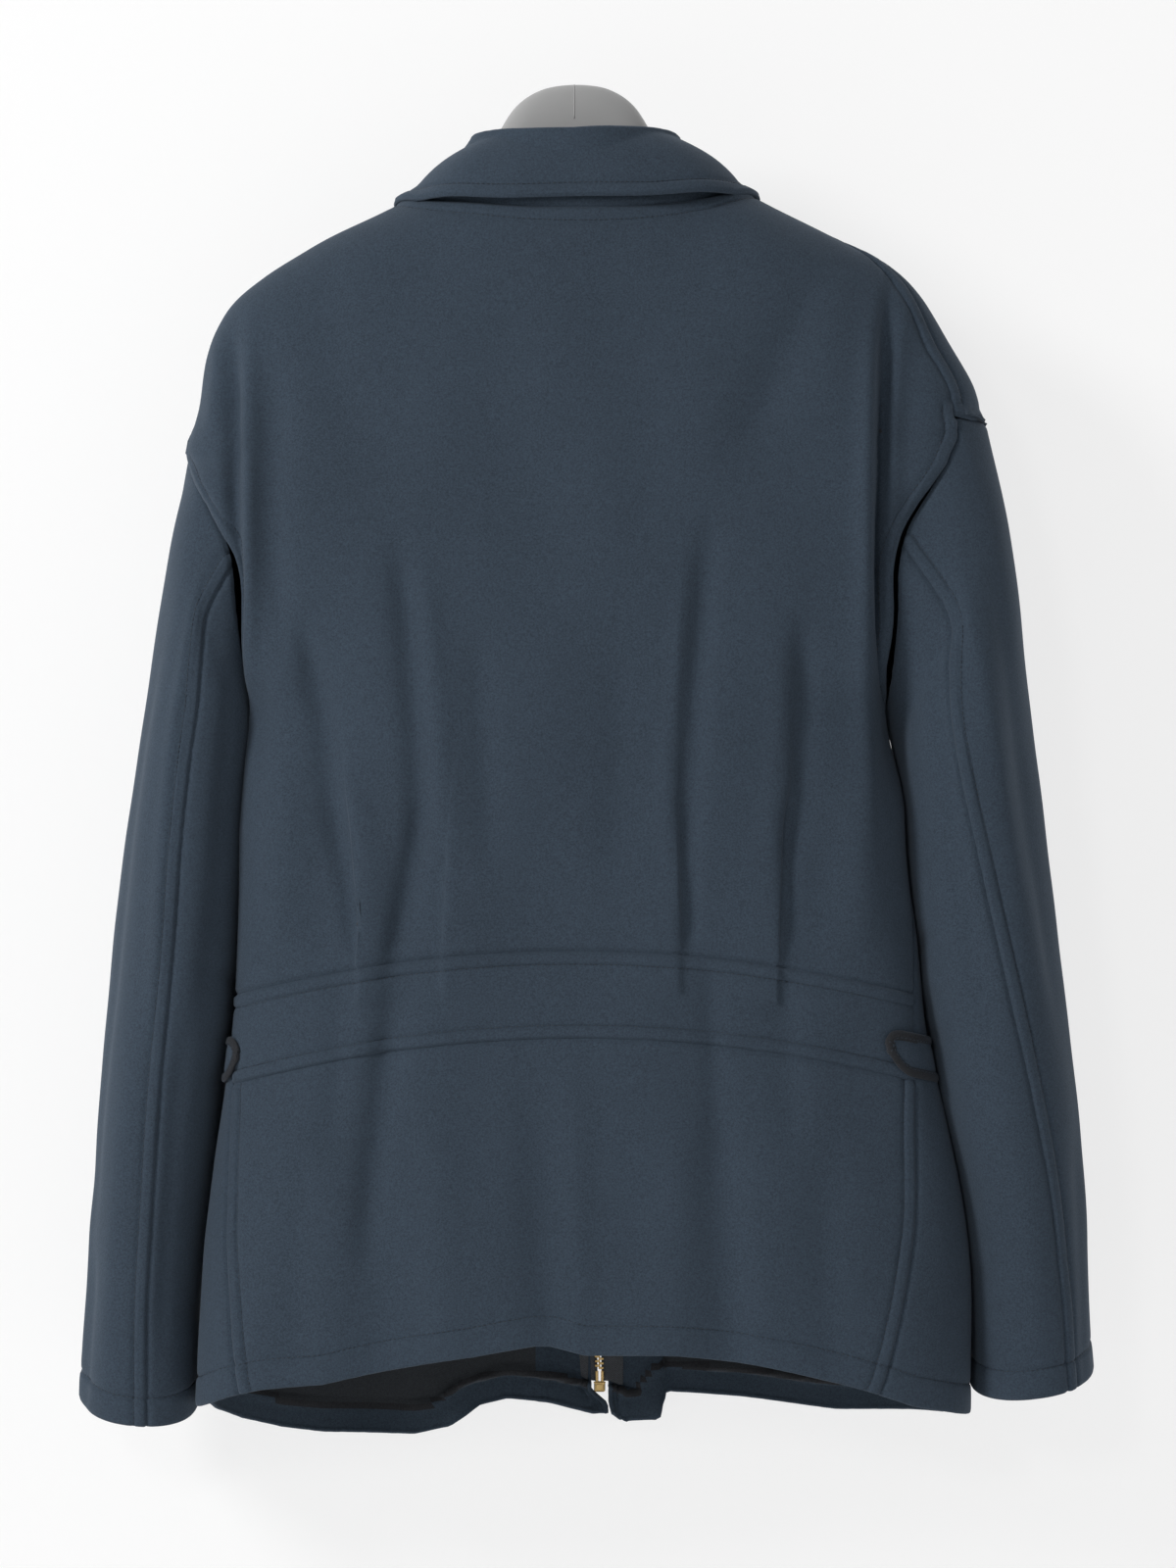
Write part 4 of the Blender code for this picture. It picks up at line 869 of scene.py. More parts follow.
def distance_to(points, line):
    """Each point's distance from a line, and how far along the line its nearest place lies."""
    lengths = lengths_along(line)
    dense = sample(line, lengths, np.linspace(0, lengths[-1], max(int(lengths[-1] / 2), 4)))
    lengths = lengths_along(dense)
    flat = points.reshape(-1, 3)
    best, place = np.full(len(flat), np.inf), np.zeros(len(flat))
    for start in range(0, len(flat), DISTANCE_BATCH):
        batch = slice(start, start + DISTANCE_BATCH)
        part = flat[batch]
        gaps = ((part[:, None, :] - dense[None, :-1, :]) ** 2).sum(axis=2)
        near = gaps.argmin(axis=1)
        for first in (np.maximum(near - 1, 0), near):
            a, b = dense[first], dense[first + 1]
            step = b - a
            share = ((part - a) * step).sum(axis=1) / np.maximum((step**2).sum(axis=1), 1e-9)
            share = np.clip(share, 0, 1)
            gap = np.linalg.norm(part - a - step * share[:, None], axis=1)
            better = gap < best[batch]
            best[batch] = np.where(better, gap, best[batch])
            along = lengths[first] + share * (lengths[first + 1] - lengths[first])
            place[batch] = np.where(better, along, place[batch])
    return best.reshape(points.shape[:-1]), place.reshape(points.shape[:-1])


def pucker(place, seed):
    """Uneven pull of the thread along a seam, from 0 to 1."""
    waves = np.sin(place / 1.9 + seed) + 0.7 * np.sin(place / 1.13 + 2.1 * seed)
    slow = np.sin(place / 11.0 + 0.7 * seed) + np.sin(place / 23.0 + 1.3 * seed)
    return 0.5 + 0.16 * waves + 0.12 * slow


def plateau(distance, end):
    """1 over the doubled cloth beside a seam or in a hem, 0 past its stitching."""
    return soft_step(distance / 2.0) * (1 - soft_step((distance - end + 1.6) / 1.6))


def seam_relief(distance, place, style, seed):
    """How the cloth stands out beside a seam or an edge."""
    pull = pucker(place, seed)
    if style in (PLAIN, UNDER):
        depth = 1.3 if style == PLAIN else 1.7
        return -depth * bell(distance, 0, 1.9) * (0.7 + 0.6 * pull)
    if style in (STITCHED, OVER):
        edge = -1.2 * bell(distance, 0, 1.0) if style == STITCHED else 0.5 * bell(distance, 1.2, 2.4)
        groove = -0.8 * bell(distance, STITCH_IN, 0.9) - 0.3 * bell(distance, STITCH_IN, 3.0)
        raised = plateau(distance, STITCH_IN) * (0.4 + 0.4 * pull)
        return edge + raised + groove * (0.7 + 0.6 * pull)
    groove = -0.8 * bell(distance, HEM_TURN, 1.0) - 0.35 * bell(distance, HEM_TURN, 3.2)
    return groove * (0.7 + 0.6 * pull) + plateau(distance, HEM_TURN) * (0.2 + 0.5 * pull)


def iso_line(points, normals, distance, level, side):
    """The line across the grid where distance equals level, with its normals."""
    if side in (FIRST, LAST):
        field, grid, out = distance, points, normals
    else:
        field = distance.T
        grid, out = points.transpose(1, 0, 2), normals.transpose(1, 0, 2)
    if side in (LAST, TOP):
        field, grid, out = field[:, ::-1], grid[:, ::-1], out[:, ::-1]
    found = []
    for row, spots, ways in zip(field, grid, out):
        above = np.nonzero(row >= level)[0]
        if len(above) == 0 or above[0] == 0 or row[0] > level * 0.8:
            continue
        at = above[0]
        share = (level - row[at - 1]) / max(row[at] - row[at - 1], 1e-6)
        found.append((
            spots[at - 1] + (spots[at] - spots[at - 1]) * share,
            ways[at - 1] + (ways[at] - ways[at - 1]) * share,
        ))
    if len(found) < 4:
        return None
    return np.array([f[0] for f in found]), unit(np.array([f[1] for f in found]))


# ---------------------------------------------------------------- meshes

STITCH_PITCH, STITCH_LONG, STITCH_WIDE, STITCH_HIGH = 3.1, 2.35, 0.62, 0.34
SEED_STEP = 1.7  # between the puckers of a piece's edges


def link(obj):
    bpy.context.scene.collection.objects.link(obj)
    return obj


def dress(obj, node=None):
    """Hides the solid whose place a piece takes, where there is one."""
    if node:
        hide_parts(node)


def split_rows(rows):
    """The points and the normals of a grid from its rows of (points, normals)."""
    return np.array([row[0] for row in rows]), unit(np.array([row[1] for row in rows]))


def cell_means(values):
    return (values[:-1, :-1] + values[1:, 1:]) / 2


def add_object(name, verts, faces, materials, face_slots=None, uvs=None, body="jacket", smooth=True):
    mesh = bpy.data.meshes.new(name)
    mesh.from_pydata((np.asarray(verts) * MM).tolist(), [], faces)
    for made in materials:
        mesh.materials.append(made)
    if face_slots is not None:
        mesh.polygons.foreach_set("material_index", np.asarray(face_slots, np.int32))
    if uvs is not None:
        layer = mesh.uv_layers.new(name="cloth")
        corners = np.empty(len(mesh.loops), np.int32)
        mesh.loops.foreach_get("vertex_index", corners)
        layer.data.foreach_set("uv", np.asarray(uvs)[corners].astype(np.float32).ravel())
    mesh.polygons.foreach_set("use_smooth", [smooth] * len(mesh.polygons))
    mesh.update()
    obj = link(bpy.data.objects.new(name, mesh))
    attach(obj, body)
    return obj


def grid_ways(grid):
    return unit(np.cross(np.gradient(grid, axis=1), np.gradient(grid, axis=0)))


def grid_normals(grid, like):
    """Normals of a grid, on the side that like points to."""
    found = grid_ways(grid)
    return found * np.sign((found * like).sum(axis=-1, keepdims=True) + 1e-9)


def perimeter(rows, columns):
    """Indices round a grid's edge, anticlockwise from its first corner, and the way out at each."""
    loop = [(0, c) for c in range(columns)] + [(r, columns - 1) for r in range(1, rows)]
    loop += [(rows - 1, c) for c in range(columns - 2, -1, -1)]
    loop += [(r, 0) for r in range(rows - 2, 0, -1)]
    inward = []
    for r, c in loop:
        step_r = 1 if r == 0 else (-1 if r == rows - 1 else 0)
        step_c = 1 if c == 0 else (-1 if c == columns - 1 else 0)
        inward.append((r + step_r, c + step_c))
    return np.array(loop), np.array(inward)


def shell(name, outer, normals, walls, materials, inner_slots, uvs, round_out=0.35):
    """A closed thin cloth from its outer grid. Its rim is rounded. walls is the thickness, and
    inner_slots the inner faces' materials, or None where they all have the second one."""
    rows, columns = outer.shape[:2]
    walls = np.broadcast_to(walls, (rows, columns))[..., None]
    inner = outer - normals * walls
    loop, inward = perimeter(rows, columns)
    out_rim, in_rim = outer[loop[:, 0], loop[:, 1]], inner[loop[:, 0], loop[:, 1]]
    away = unit(out_rim - outer[inward[:, 0], inward[:, 1]])
    wall = walls[loop[:, 0], loop[:, 1]]
    rings = []
    for turn in (0.25, 0.5, 0.75):
        middle = (out_rim + in_rim) / 2 + (out_rim - in_rim) / 2 * math.cos(math.pi * turn)
        rings.append(middle + away * wall * round_out * math.sin(math.pi * turn))
    verts = np.concatenate([outer.reshape(-1, 3), inner.reshape(-1, 3), *rings])
    inside, size = rows * columns, len(loop)
    a = (np.arange(rows - 1)[:, None] * columns + np.arange(columns - 1)[None, :]).ravel()
    quads = np.stack([a, a + 1, a + 1 + columns, a + columns], axis=1)
    faces = [quads, quads[:, ::-1] + inside]
    slots = [np.zeros(len(quads), int)]
    slots.append(np.ones(len(quads), int) if inner_slots is None else inner_slots)
    flat = loop[:, 0] * columns + loop[:, 1]
    ring_ids = [2 * inside + k * size + np.arange(size) for k in range(len(rings))]
    ring_ids = [flat, *ring_ids, flat + inside]
    for first, second in zip(ring_ids, ring_ids[1:]):
        faces.append(np.stack([first, second, np.roll(second, -1), np.roll(first, -1)], axis=1))
        slots.append(np.zeros(size, int))
    flat_uv = uvs.reshape(-1, 2)
    uvs = np.concatenate([flat_uv, flat_uv] + [flat_uv[flat]] * len(rings))
    faces = np.concatenate(faces).tolist()
    return add_object(name, verts, faces, materials, np.concatenate(slots), uvs)


def lay_out(outer):
    """UVs in metres: across the cloth from its middle column, and up from its bottom row."""
    across = np.concatenate([
        np.zeros((len(outer), 1)),
        np.cumsum(np.linalg.norm(np.diff(outer, axis=1), axis=2), axis=1),
    ], axis=1)
    across -= across[:, across.shape[1] // 2][:, None]
    up = np.concatenate([
        np.zeros((1, outer.shape[1])),
        np.cumsum(np.linalg.norm(np.diff(outer, axis=0), axis=2), axis=0),
    ])
    return np.stack([across, up], axis=-1) * MM


def stitch_mesh(lines):
    """Rows of stitches along (points, normals) lines, each a small six-sided lens."""
    verts, faces = [], []
    for points, normals in lines:
        lengths = lengths_along(points)
        count = int(lengths[-1] / STITCH_PITCH)
        for number in range(count):
            middle = (number + 0.5) * STITCH_PITCH
            spots = [middle - STITCH_LONG / 2, middle, middle + STITCH_LONG / 2]
            a, b, c = sample(points, lengths, spots)
            out = unit(sample(normals, lengths, [middle])[0])
            along = unit(c - a)
            side = unit(np.cross(along, out)) * STITCH_WIDE / 2
            first = len(verts)
            lift = out * STITCH_HIGH
            verts += [a - lift * 0.6, c - lift * 0.6]
            for spot in (a + (b - a) * 0.35, b + (c - b) * 0.65):
                verts += [spot + side, spot + lift * 0.8 + side * 0.45]
                verts += [spot + lift * 0.8 - side * 0.45, spot - side]
            low, high = first + 2, first + 6
            for k in range(4):
                after = (k + 1) % 4
                faces.append((low + k, high + k, high + after, low + after))
                faces.append((first, low + k, low + after))
                faces.append((first + 1, high + after, high + k))
    return verts, faces


def add_stitches(name, lines):
    found = [line for line in lines if line is not None]
    if found:
        verts, faces = stitch_mesh(found)
        dress(add_object(name + "_stitches", verts, faces, [THREAD]))


def cloth_piece(name, rows, edges, seed, wall=1.7, relief=torso_relief, inside=None, materials=None):
    """One cut piece: its shell with relief and sewn edges, and its stitches. rows are (points,
    normals), and inside gives the inner side's walls and materials."""
    points, normals = split_rows(rows)
    out = relief(points, normals)
    moved = points + normals * out[..., None]
    stitched, walls = [], np.full(points.shape[:2], float(wall))
    for number, edge in enumerate(edges):
        distance, place = distance_to(moved, edge_line(moved, edge))
        out = out + seam_relief(distance, place, edge.style, seed + SEED_STEP * number)
        if edge.style == HEM:
            walls += hem_wall(distance)
        if edge.style in (STITCHED, OVER, HEM):
            stitched.append((distance, HEM_TURN if edge.style == HEM else STITCH_IN, edge.side))
    outer = points + normals * out[..., None]
    fine = grid_normals(outer, normals)
    walls, slots = inside(outer, walls) if inside else (walls, None)
    materials = materials or [CLOTH, LINING_SIDE, SHADED_TURN_UP, BINDING]
    obj = shell(name + "_cloth", outer, fine, walls, materials, slots, lay_out(outer))
    add_stitches(name, [iso_line(outer, fine, *row) for row in stitched])
    dress(obj, name)


def hem_wall(distance):
    """A hem's inner side: the turned-up cloth, and its rounded bound edge."""
    turned = 1.1 * (1 - soft_step((distance - HEM_TURN - 0.3) / 1.2))
    return turned + bell(distance, HEM_TURN - 0.4, 1.5)


def hem_slots(outer):
    """Inner faces below the turn-up's edge are its cloth, painted darker for shade, and the edge itself
    is bound.
    """
    middle = cell_means(distance_to(outer, outer[0])[0])
    return np.where(middle < HEM_TURN - 2.2, 2, np.where(middle < HEM_TURN + 1.0, 3, 1))


def hemmed(outer, walls):
    return walls, hem_slots(outer).ravel()


# ---------------------------------------------------------------- torso pieces


def share_at(ts, t):
    """Where along a piece's column this height lies, from 0 to 1."""
    return float(np.interp(t, ts, np.linspace(0, 1, len(ts))))


def build_back():
    seam = SEAM_GAP / 2
    top, low = height("band_top"), height("band_low")
    underarm, tip, neck = height("underarm"), height("tip"), height("neck")
    ts = levels_between(beyond(top, seam), neck)
    under, end = share_at(ts, underarm), share_at(ts, tip)
    edges = [Edge(BOTTOM, 0, 1, PLAIN), Edge(TOP, 0, 1, STITCHED)]
    for side in (FIRST, LAST):
        edges += [
            Edge(side, 0, under, PLAIN),
            Edge(side, under, end, OVER),
            Edge(side, end, 1, PLAIN),
        ]
    cloth_piece("back_panel", [fine_back_row(t, True) for t in ts], edges, seed=0.4)
    ts = levels_between(beyond(low, seam), beyond(top, -seam))
    edges = [Edge(BOTTOM, 0, 1, STITCHED), Edge(TOP, 0, 1, STITCHED)]
    edges += [Edge(side, 0, 1, PLAIN) for side in (FIRST, LAST)]
    cloth_piece("back_waistband", [fine_back_row(t, False) for t in ts], edges, seed=2.2)
    ts = levels_between(0.0, beyond(low, -seam), HEM_STEPS)
    edges = [Edge(BOTTOM, 0, 1, HEM), Edge(TOP, 0, 1, PLAIN)]
    edges += [Edge(side, 0, 1, STITCHED) for side in (FIRST, LAST)]
    rows = [fine_back_row(t, False) for t in ts]
    cloth_piece("back_skirt", rows, edges, inside=hemmed, seed=3.9)


def build_fronts():
    underarm, tip, neck = height("underarm"), height("tip"), height("neck")
    for side, name in ((LEFT, "front_left"), (RIGHT, "front_right")):
        ts = levels_between(0.0, neck, HEM_STEPS)
        under, end = share_at(ts, underarm), share_at(ts, tip)
        seam_side, zip_side = (FIRST, LAST) if side == RIGHT else (LAST, FIRST)
        edges = [
            Edge(BOTTOM, 0, 1, HEM),
            Edge(TOP, 0, 1, PLAIN),
            Edge(seam_side, 0, under, PLAIN),
            Edge(seam_side, under, end, OVER),
            Edge(seam_side, end, 1, STITCHED),
            Edge(zip_side, 0, 1, STITCHED),
        ]

        def faced(outer, walls, zip_side=zip_side):
            distance, _ = distance_to(outer, edge_line(outer, Edge(zip_side, 0, 1, PLAIN)))
            facing = soft_step((distance - TAPE_REACH + 6.5) / 1.2)
            walls = walls + facing * (1 - soft_step((distance - FACING) / 1.2))
            slots = hem_slots(outer)
            # the facing takes the turn-up's cloth, painted darker for shade
            slots = np.where((cell_means(distance) < FACING) & (slots == 1), 2, slots)
            return walls, slots.ravel()

        rows = [fine_front_row(side, t) for t in ts]
        cloth_piece(name, rows, edges, inside=faced, seed=5.3 + side)


# ---------------------------------------------------------------- sleeves

# Creases down a sleeve, from a place (around, down) to another. around is 0 at the outer end, 1 at the
# inner end on the back and 2 at the outer end again on the front, and down is 0 at the armhole.
LongCrease = namedtuple("LongCrease", "side around down to_around to_down width height")
LONG_CREASES = [
    LongCrease(LEFT, 0.38, 0.00, 0.47, 0.56, 0.035, 2.6),
    LongCrease(LEFT, 0.68, 0.06, 0.64, 0.55, 0.045, -2.4),
    LongCrease(LEFT, 0.22, 0.10, 0.20, 0.80, 0.05, -1.8),
    LongCrease(LEFT, 0.58, 0.50, 0.62, 0.96, 0.05, -1.8),
    LongCrease(LEFT, 0.40, 0.55, 0.34, 0.98, 0.06, 1.2),
    LongCrease(LEFT, 0.12, 0.72, 0.10, 1.02, 0.04, 1.5),
    LongCrease(LEFT, 0.22, 0.80, 0.20, 1.02, 0.04, -1.2),
    LongCrease(RIGHT, 0.30, 0.05, 0.26, 0.60, 0.05, -2.2),
    LongCrease(RIGHT, 0.44, 0.00, 0.38, 0.50, 0.045, 2.4),
    LongCrease(RIGHT, 0.64, 0.06, 0.56, 0.60, 0.045, -2.6),
    LongCrease(RIGHT, 0.80, 0.10, 0.76, 0.62, 0.05, 1.6),
    LongCrease(RIGHT, 0.14, 0.20, 0.12, 0.90, 0.05, 1.2),
    LongCrease(RIGHT, 0.52, 0.55, 0.50, 0.98, 0.07, 1.4),
    LongCrease(RIGHT, 0.22, 0.70, 0.24, 1.02, 0.05, -1.3),
]
for hidden in (LEFT, RIGHT):
    LONG_CREASES.append(LongCrease(hidden, 1.35, 0.10, 1.42, 0.60, 0.06, -2.0))
    LONG_CREASES.append(LongCrease(hidden, 1.62, 0.15, 1.58, 0.70, 0.06, 1.6))
    LONG_CREASES.append(LongCrease(hidden, 1.30, 0.55, 1.40, 0.95, 0.07, 1.6))
# Wrinkles across the sleeve at the elbow and above the cuff.
Wrinkle = namedtuple("Wrinkle", "side around down reach height")
WRINKLES = [
    Wrinkle(LEFT, 0.95, 0.47, 0.40, -1.4),
    Wrinkle(LEFT, 1.05, 0.53, 0.34, 1.2),
    Wrinkle(LEFT, 0.90, 0.60, 0.30, -1.2),
    Wrinkle(LEFT, 0.75, 0.88, 0.30, -0.8),
    Wrinkle(RIGHT, 0.95, 0.45, 0.40, -1.4),
    Wrinkle(RIGHT, 1.05, 0.51, 0.34, 1.2),
    Wrinkle(RIGHT, 0.90, 0.58, 0.30, -1.2),
    Wrinkle(RIGHT, 0.60, 0.86, 0.30, -0.8),
]
WRINKLE_WIDTH, WRINKLE_SLANT = 0.016, 0.05
SLEEVE_DRIFT = 0.8  # the share of the whole cloth's waves on a sleeve
SLEEVE_ROWS_PER_RING = 10
SLEEVE_ENDS = 32  # of a sleeve's length, what its hem's and seam's own rows take
UPPER_SHARE, UNDER_SHARE = 1.36, 0.6  # of half the way round, about what each piece covers


def sleeve_relief(side, around, down):
    out = np.zeros_like(around)
    for row in [row for row in LONG_CREASES if row.side == side]:
        along = (down - row.down) / (row.to_down - row.down)
        line = row.around + (row.to_around - row.around) * along
        gap = (around - line + 1) % 2 - 1
        strength = soft_step(np.minimum(along, 1 - along) / 0.3 + 0.2)
        out += row.height * strength * bell(gap, 0, row.width)
    for row in [row for row in WRINKLES if row.side == side]:
        gap = (around - row.around + 1) % 2 - 1
        slant = down - row.down - WRINKLE_SLANT * gap
        out += row.height * bell(gap, 0, row.reach) * bell(slant, 0, WRINKLE_WIDTH)
    return out


def build_sleeve(side, name, table):
    surface, normals, seams = sleeve_surface(side, table, SLEEVE_ROWS_PER_RING)
    steps = np.linalg.norm(np.diff(surface, axis=0), axis=2).mean(axis=1)
    up = np.concatenate([[0.0], np.cumsum(steps)])
    places = stations(0, up[-1], [], [int((up[-1] - SLEEVE_ENDS) / CELL)], HEM_STEPS, EDGE_STEPS)
    surface = sample(surface.reshape(len(surface), -1), up, places).reshape(len(places), -1, 3)
    normals = unit(sample(normals.reshape(len(normals), -1), up, places).reshape(surface.shape))
    seams = np.interp(places, up, seams)
    halves = np.linalg.norm(surface - np.roll(surface, 1, axis=1), axis=2).sum(axis=1) / 2
    down = 1 - places / up[-1]
    for part, share in (("upper", UPPER_SHARE), ("under", UNDER_SHARE)):
        rows, arounds = [], []
        for ring, out, seam, half in zip(surface, normals, seams, halves):
            ends = (-seam, INNER_SEAM) if part == "upper" else (INNER_SEAM, 2 - seam)
            if side == LEFT:
                ends = (-INNER_SEAM, seam) if part == "upper" else (seam, 2 - INNER_SEAM)
            gap = SEAM_GAP / 2 / half
            near = [step / half for step in EDGE_STEPS]
            columns = int(share * SLEEVE_WIDTH / CELL)
            spots = stations(ends[0] + gap, ends[1] - gap, [], [columns], near, near)
            rows.append(ring_at(ring, out, spots))
            arounds.append(-side * spots % 2)
        arounds = np.array(arounds)

        def relief(points, _, arounds=arounds):
            creases = sleeve_relief(side, arounds, np.broadcast_to(down[:, None], arounds.shape))
            return creases + SLEEVE_DRIFT * drift_relief(points)

        back_side, other = (FIRST, LAST) if (side == RIGHT) == (part == "upper") else (LAST, FIRST)
        edges = [
            Edge(BOTTOM, 0, 1, HEM),
            Edge(TOP, 0, 1, UNDER),
            Edge(back_side, 0, 1, STITCHED if part == "upper" else PLAIN),
            Edge(other, 0, 1, PLAIN),
        ]
        seed = 7.1 + side + len(part)
        cloth_piece(f"{name}_{part}", rows, edges, seed, relief=relief, inside=hemmed)


def ring_at(points, normals, spots):
    """Points and normals round a closed ring, where 2 is once round and 1 is the inner end."""
    places = np.asarray(spots) * (SLEEVE_AROUND - 1)
    closed_points = np.concatenate([points, points, points])
    closed_normals = np.concatenate([normals, normals, normals])
    index = np.arange(len(closed_points)) - len(points)
    return sample(closed_points, index, places), sample(closed_normals, index, places)


# ---------------------------------------------------------------- collar

FALL_WALL, STAND_WALL = 2.8, 2.2
FALL_DRIFT, STAND_DRIFT = 0.35, 0.3  # the shares of the whole cloth's waves
COLLAR_ROLL = 2.6  # radius of the roll at the fold line
ROLL_STEPS = 5
FALL_CELL, FALL_ENDS = 2.6, 12
STAND_SINK = 0.3  # how far the stand's foot lies inside the neck seam


def build_collar():
    fold, edge = (collar_ring(collar_half(kind, COLLAR_COLUMNS)) for kind in ("fold", "edge"))
    outward = unit(edge * [1, 1, 0])
    drop = float(np.linalg.norm(fold - edge, axis=1).mean())
    fall = []
    cells = int((drop - FALL_ENDS) / FALL_CELL)
    for place in stations(0, drop, [], [cells], EDGE_STEPS, [0, FALL_CELL]):
        share = place / drop
        round_out = COLLAR_BULGE * math.sin(math.pi * share)
        line = edge + (fold - edge) * share + (outward * 0.6 + [0, 0, 0.8]) * round_out
        fall.append(lay_on_shoulders(line, CLOTH_WALL + FALL_EASE * (1 + share)))
    inward = -grid_ways(np.array(fall))[-1]
    inward[:, 2] = 0
    inward = unit(inward)
    top = fall[-1]
    for turn in np.linspace(0, math.pi * 0.75, ROLL_STEPS + 1)[1:]:
        lift = COLLAR_ROLL * math.sin(turn) * 0.8
        fall.append(top + inward * COLLAR_ROLL * (1 - math.cos(turn)) + [0, 0, lift])
    rows = list(zip(fall, grid_ways(np.array(fall))))
    edges = [Edge(BOTTOM, 0, 1, STITCHED), Edge(FIRST, 0, 0.8, STITCHED), Edge(LAST, 0, 0.8, STITCHED)]
    cloth_piece(
        "collar_fall", rows, edges, 9.2, FALL_WALL,
        lambda points, _: FALL_DRIFT * drift_relief(points),
        materials=[CLOTH, SHADED_CLOTH_UNDERSIDE, SHADED_TURN_UP, BINDING],
    )
    build_stand(*rows[-ROLL_STEPS - 1])


def build_stand(fold, ways):
    """The stand rises from the neck seam to just inside the fall's fold line."""
    t = len(SECTIONS) - 1.0
    back, front = arc(BACK, t)[0], arc(FRONT, t)[0]
    middle = DENSE // 2
    right = even(np.concatenate([back[middle:], front[middle:][::-1]]), COLLAR_COLUMNS)
    left = even(np.concatenate([back[: middle + 1][::-1], front[: middle + 1]]), COLLAR_COLUMNS)
    seam = np.concatenate([left[:0:-1], right])
    top = fold - ways * (FALL_WALL + STAND_EASE)
    seam[:, :2] -= unit(seam[:, :2]) * STAND_SINK
    for line in (seam, top):
        line[0, 0] = ZIP_TOP_X - COLLAR_FRONT_GAP
        line[-1, 0] = ZIP_TOP_X + COLLAR_FRONT_GAP
    lines = []
    for share in np.linspace(0, 1, 16):
        line = seam + (top - seam) * share
        line -= unit(line * [1, 1, 0]) * STAND_HOLLOW * math.sin(math.pi * share)
        lines.append(line)
    cloth_piece(
        "collar_stand", list(zip(lines, grid_ways(np.array(lines)))), [Edge(BOTTOM, 0, 1, UNDER)], 4.4,
        STAND_WALL, lambda points, _: STAND_DRIFT * drift_relief(points),
        materials=[CLOTH, SHADED_CLOTH_UNDERSIDE, SHADED_TURN_UP, BINDING],
    )


# ---------------------------------------------------------------- tabs

TAB_BINDING = 5.0
TAB_ROWS, TAB_COLUMNS, TAB_TIP_COLUMNS = 25, 39, 16
TAB_STITCH_IN = 3.8


def tab_rows(tab):
    """The tab lies on the ring. Its tip is a half circle."""
    rise = section(TAB_T + 0.5).left_z - section(TAB_T - 0.5).left_z
    straight = tab.reach - TAB_ROUND
    tip_turn = np.linspace(0, math.pi / 2 - 0.03, TAB_TIP_COLUMNS)
    places = np.concatenate([
        np.linspace(-TAB_START, straight, TAB_COLUMNS + 1)[:-1], straight + TAB_ROUND * np.sin(tip_turn)
    ])
    half = TAB_HEIGHT / 2 * np.sqrt(1 - np.clip((places - straight) / TAB_ROUND, 0, 0.9995) ** 2)
    if tab.side == RIGHT:
        places, half = places[::-1], half[::-1]
    rows = []
    for up in np.linspace(-1, 1, TAB_ROWS):
        spots = [ring_place(tab.side, TAB_T + up * h / rise, place) for place, h in zip(places, half)]
        points, ways = (np.array(values) for values in zip(*spots))
        rows.append((points + ways * (TAB_WALL + SEAM_GAP + TAB_EASE), ways))
    return split_rows(rows)


def build_tabs():
    for tab, name in zip(TABS, ("tab_left", "tab_right")):
        points, ways = tab_rows(tab)
        tip = points[:, 0] if tab.side == RIGHT else points[:, -1]
        rims = [distance_to(points, line)[0] for line in (points[0], points[-1], tip)]
        distance = np.minimum.reduce(rims)
        bound = 0.9 * np.exp(-(((distance - 2.3) / 2.4) ** 4)) - 0.5 * bell(distance, TAB_BINDING, 0.8)
        outer = points + ways * bound[..., None]
        fine = grid_normals(outer, ways)
        obj = shell(name + "_cloth", outer, fine, TAB_WALL, [CLOTH, BINDING], None, lay_out(outer), 0.6)
        slots = np.where(cell_means(distance) < TAB_BINDING, 1, 0).ravel()
        index = np.ones(len(obj.data.polygons), np.int32)
        index[: len(slots)] = slots
        obj.data.polygons.foreach_set("material_index", index)
        dress(obj, name)
        lines = [
            iso_line(outer, fine, distance_to(outer, outer[row])[0], TAB_STITCH_IN, side)
            for row, side in ((0, BOTTOM), (-1, TOP))
        ]
        add_stitches(name, lines)


# ---------------------------------------------------------------- small solids


def rounded_box(size, bevel, middle, axes):
    """Corners and faces of a box with one bevelled ring of edges on each face, set along axes."""
    half = np.array(size) / 2
    verts, faces = [], []
    ring = []
    for level, inset in ((-1, bevel), (-1 + bevel / half[2], 0), (1 - bevel / half[2], 0), (1, bevel)):
        x, y = half[0] - inset, half[1] - inset
        cut = min(bevel, x * 0.5, y * 0.5)
        corners = [(-x + cut, -y), (x - cut, -y), (x, -y + cut), (x, y - cut)]
        corners += [(x - cut, y), (-x + cut, y), (-x, y - cut), (-x, -y + cut)]
        ring.append([len(verts) + k for k in range(8)])
        verts += [(a, b, level * half[2]) for a, b in corners]
    for low, high in zip(ring, ring[1:]):
        for k in range(8):
            after = (k + 1) % 8
            faces.append((low[k], low[after], high[after], high[k]))
    faces.append(tuple(ring[0][::-1]))
    faces.append(tuple(ring[-1]))
    return np.array(verts) @ np.array(axes) + middle, faces


def joined(parts):
    verts, faces = [], []
    for part_verts, part_faces in parts:
        start = sum(len(v) for v in verts)
        verts.append(np.asarray(part_verts))
        faces += [tuple(start + k for k in face) for face in part_faces]
    return np.concatenate(verts), faces


# ---------------------------------------------------------------- zip

TOOTH_PITCH, TOOTH_REACH, TOOTH_LONG, TOOTH_THICK = 2.9, 3.3, 1.45, 2.3
TOOTH_OFFSET, TOOTH_BEVEL = 1.15, 0.28
TAPE_START = 1.4  # the tapes' inner edges, from the zip's middle
TAPE_CORD = 0.7  # height of the bead along them
SHARP_ANGLE = math.radians(35)  # harder edges stay sharp under smooth shading


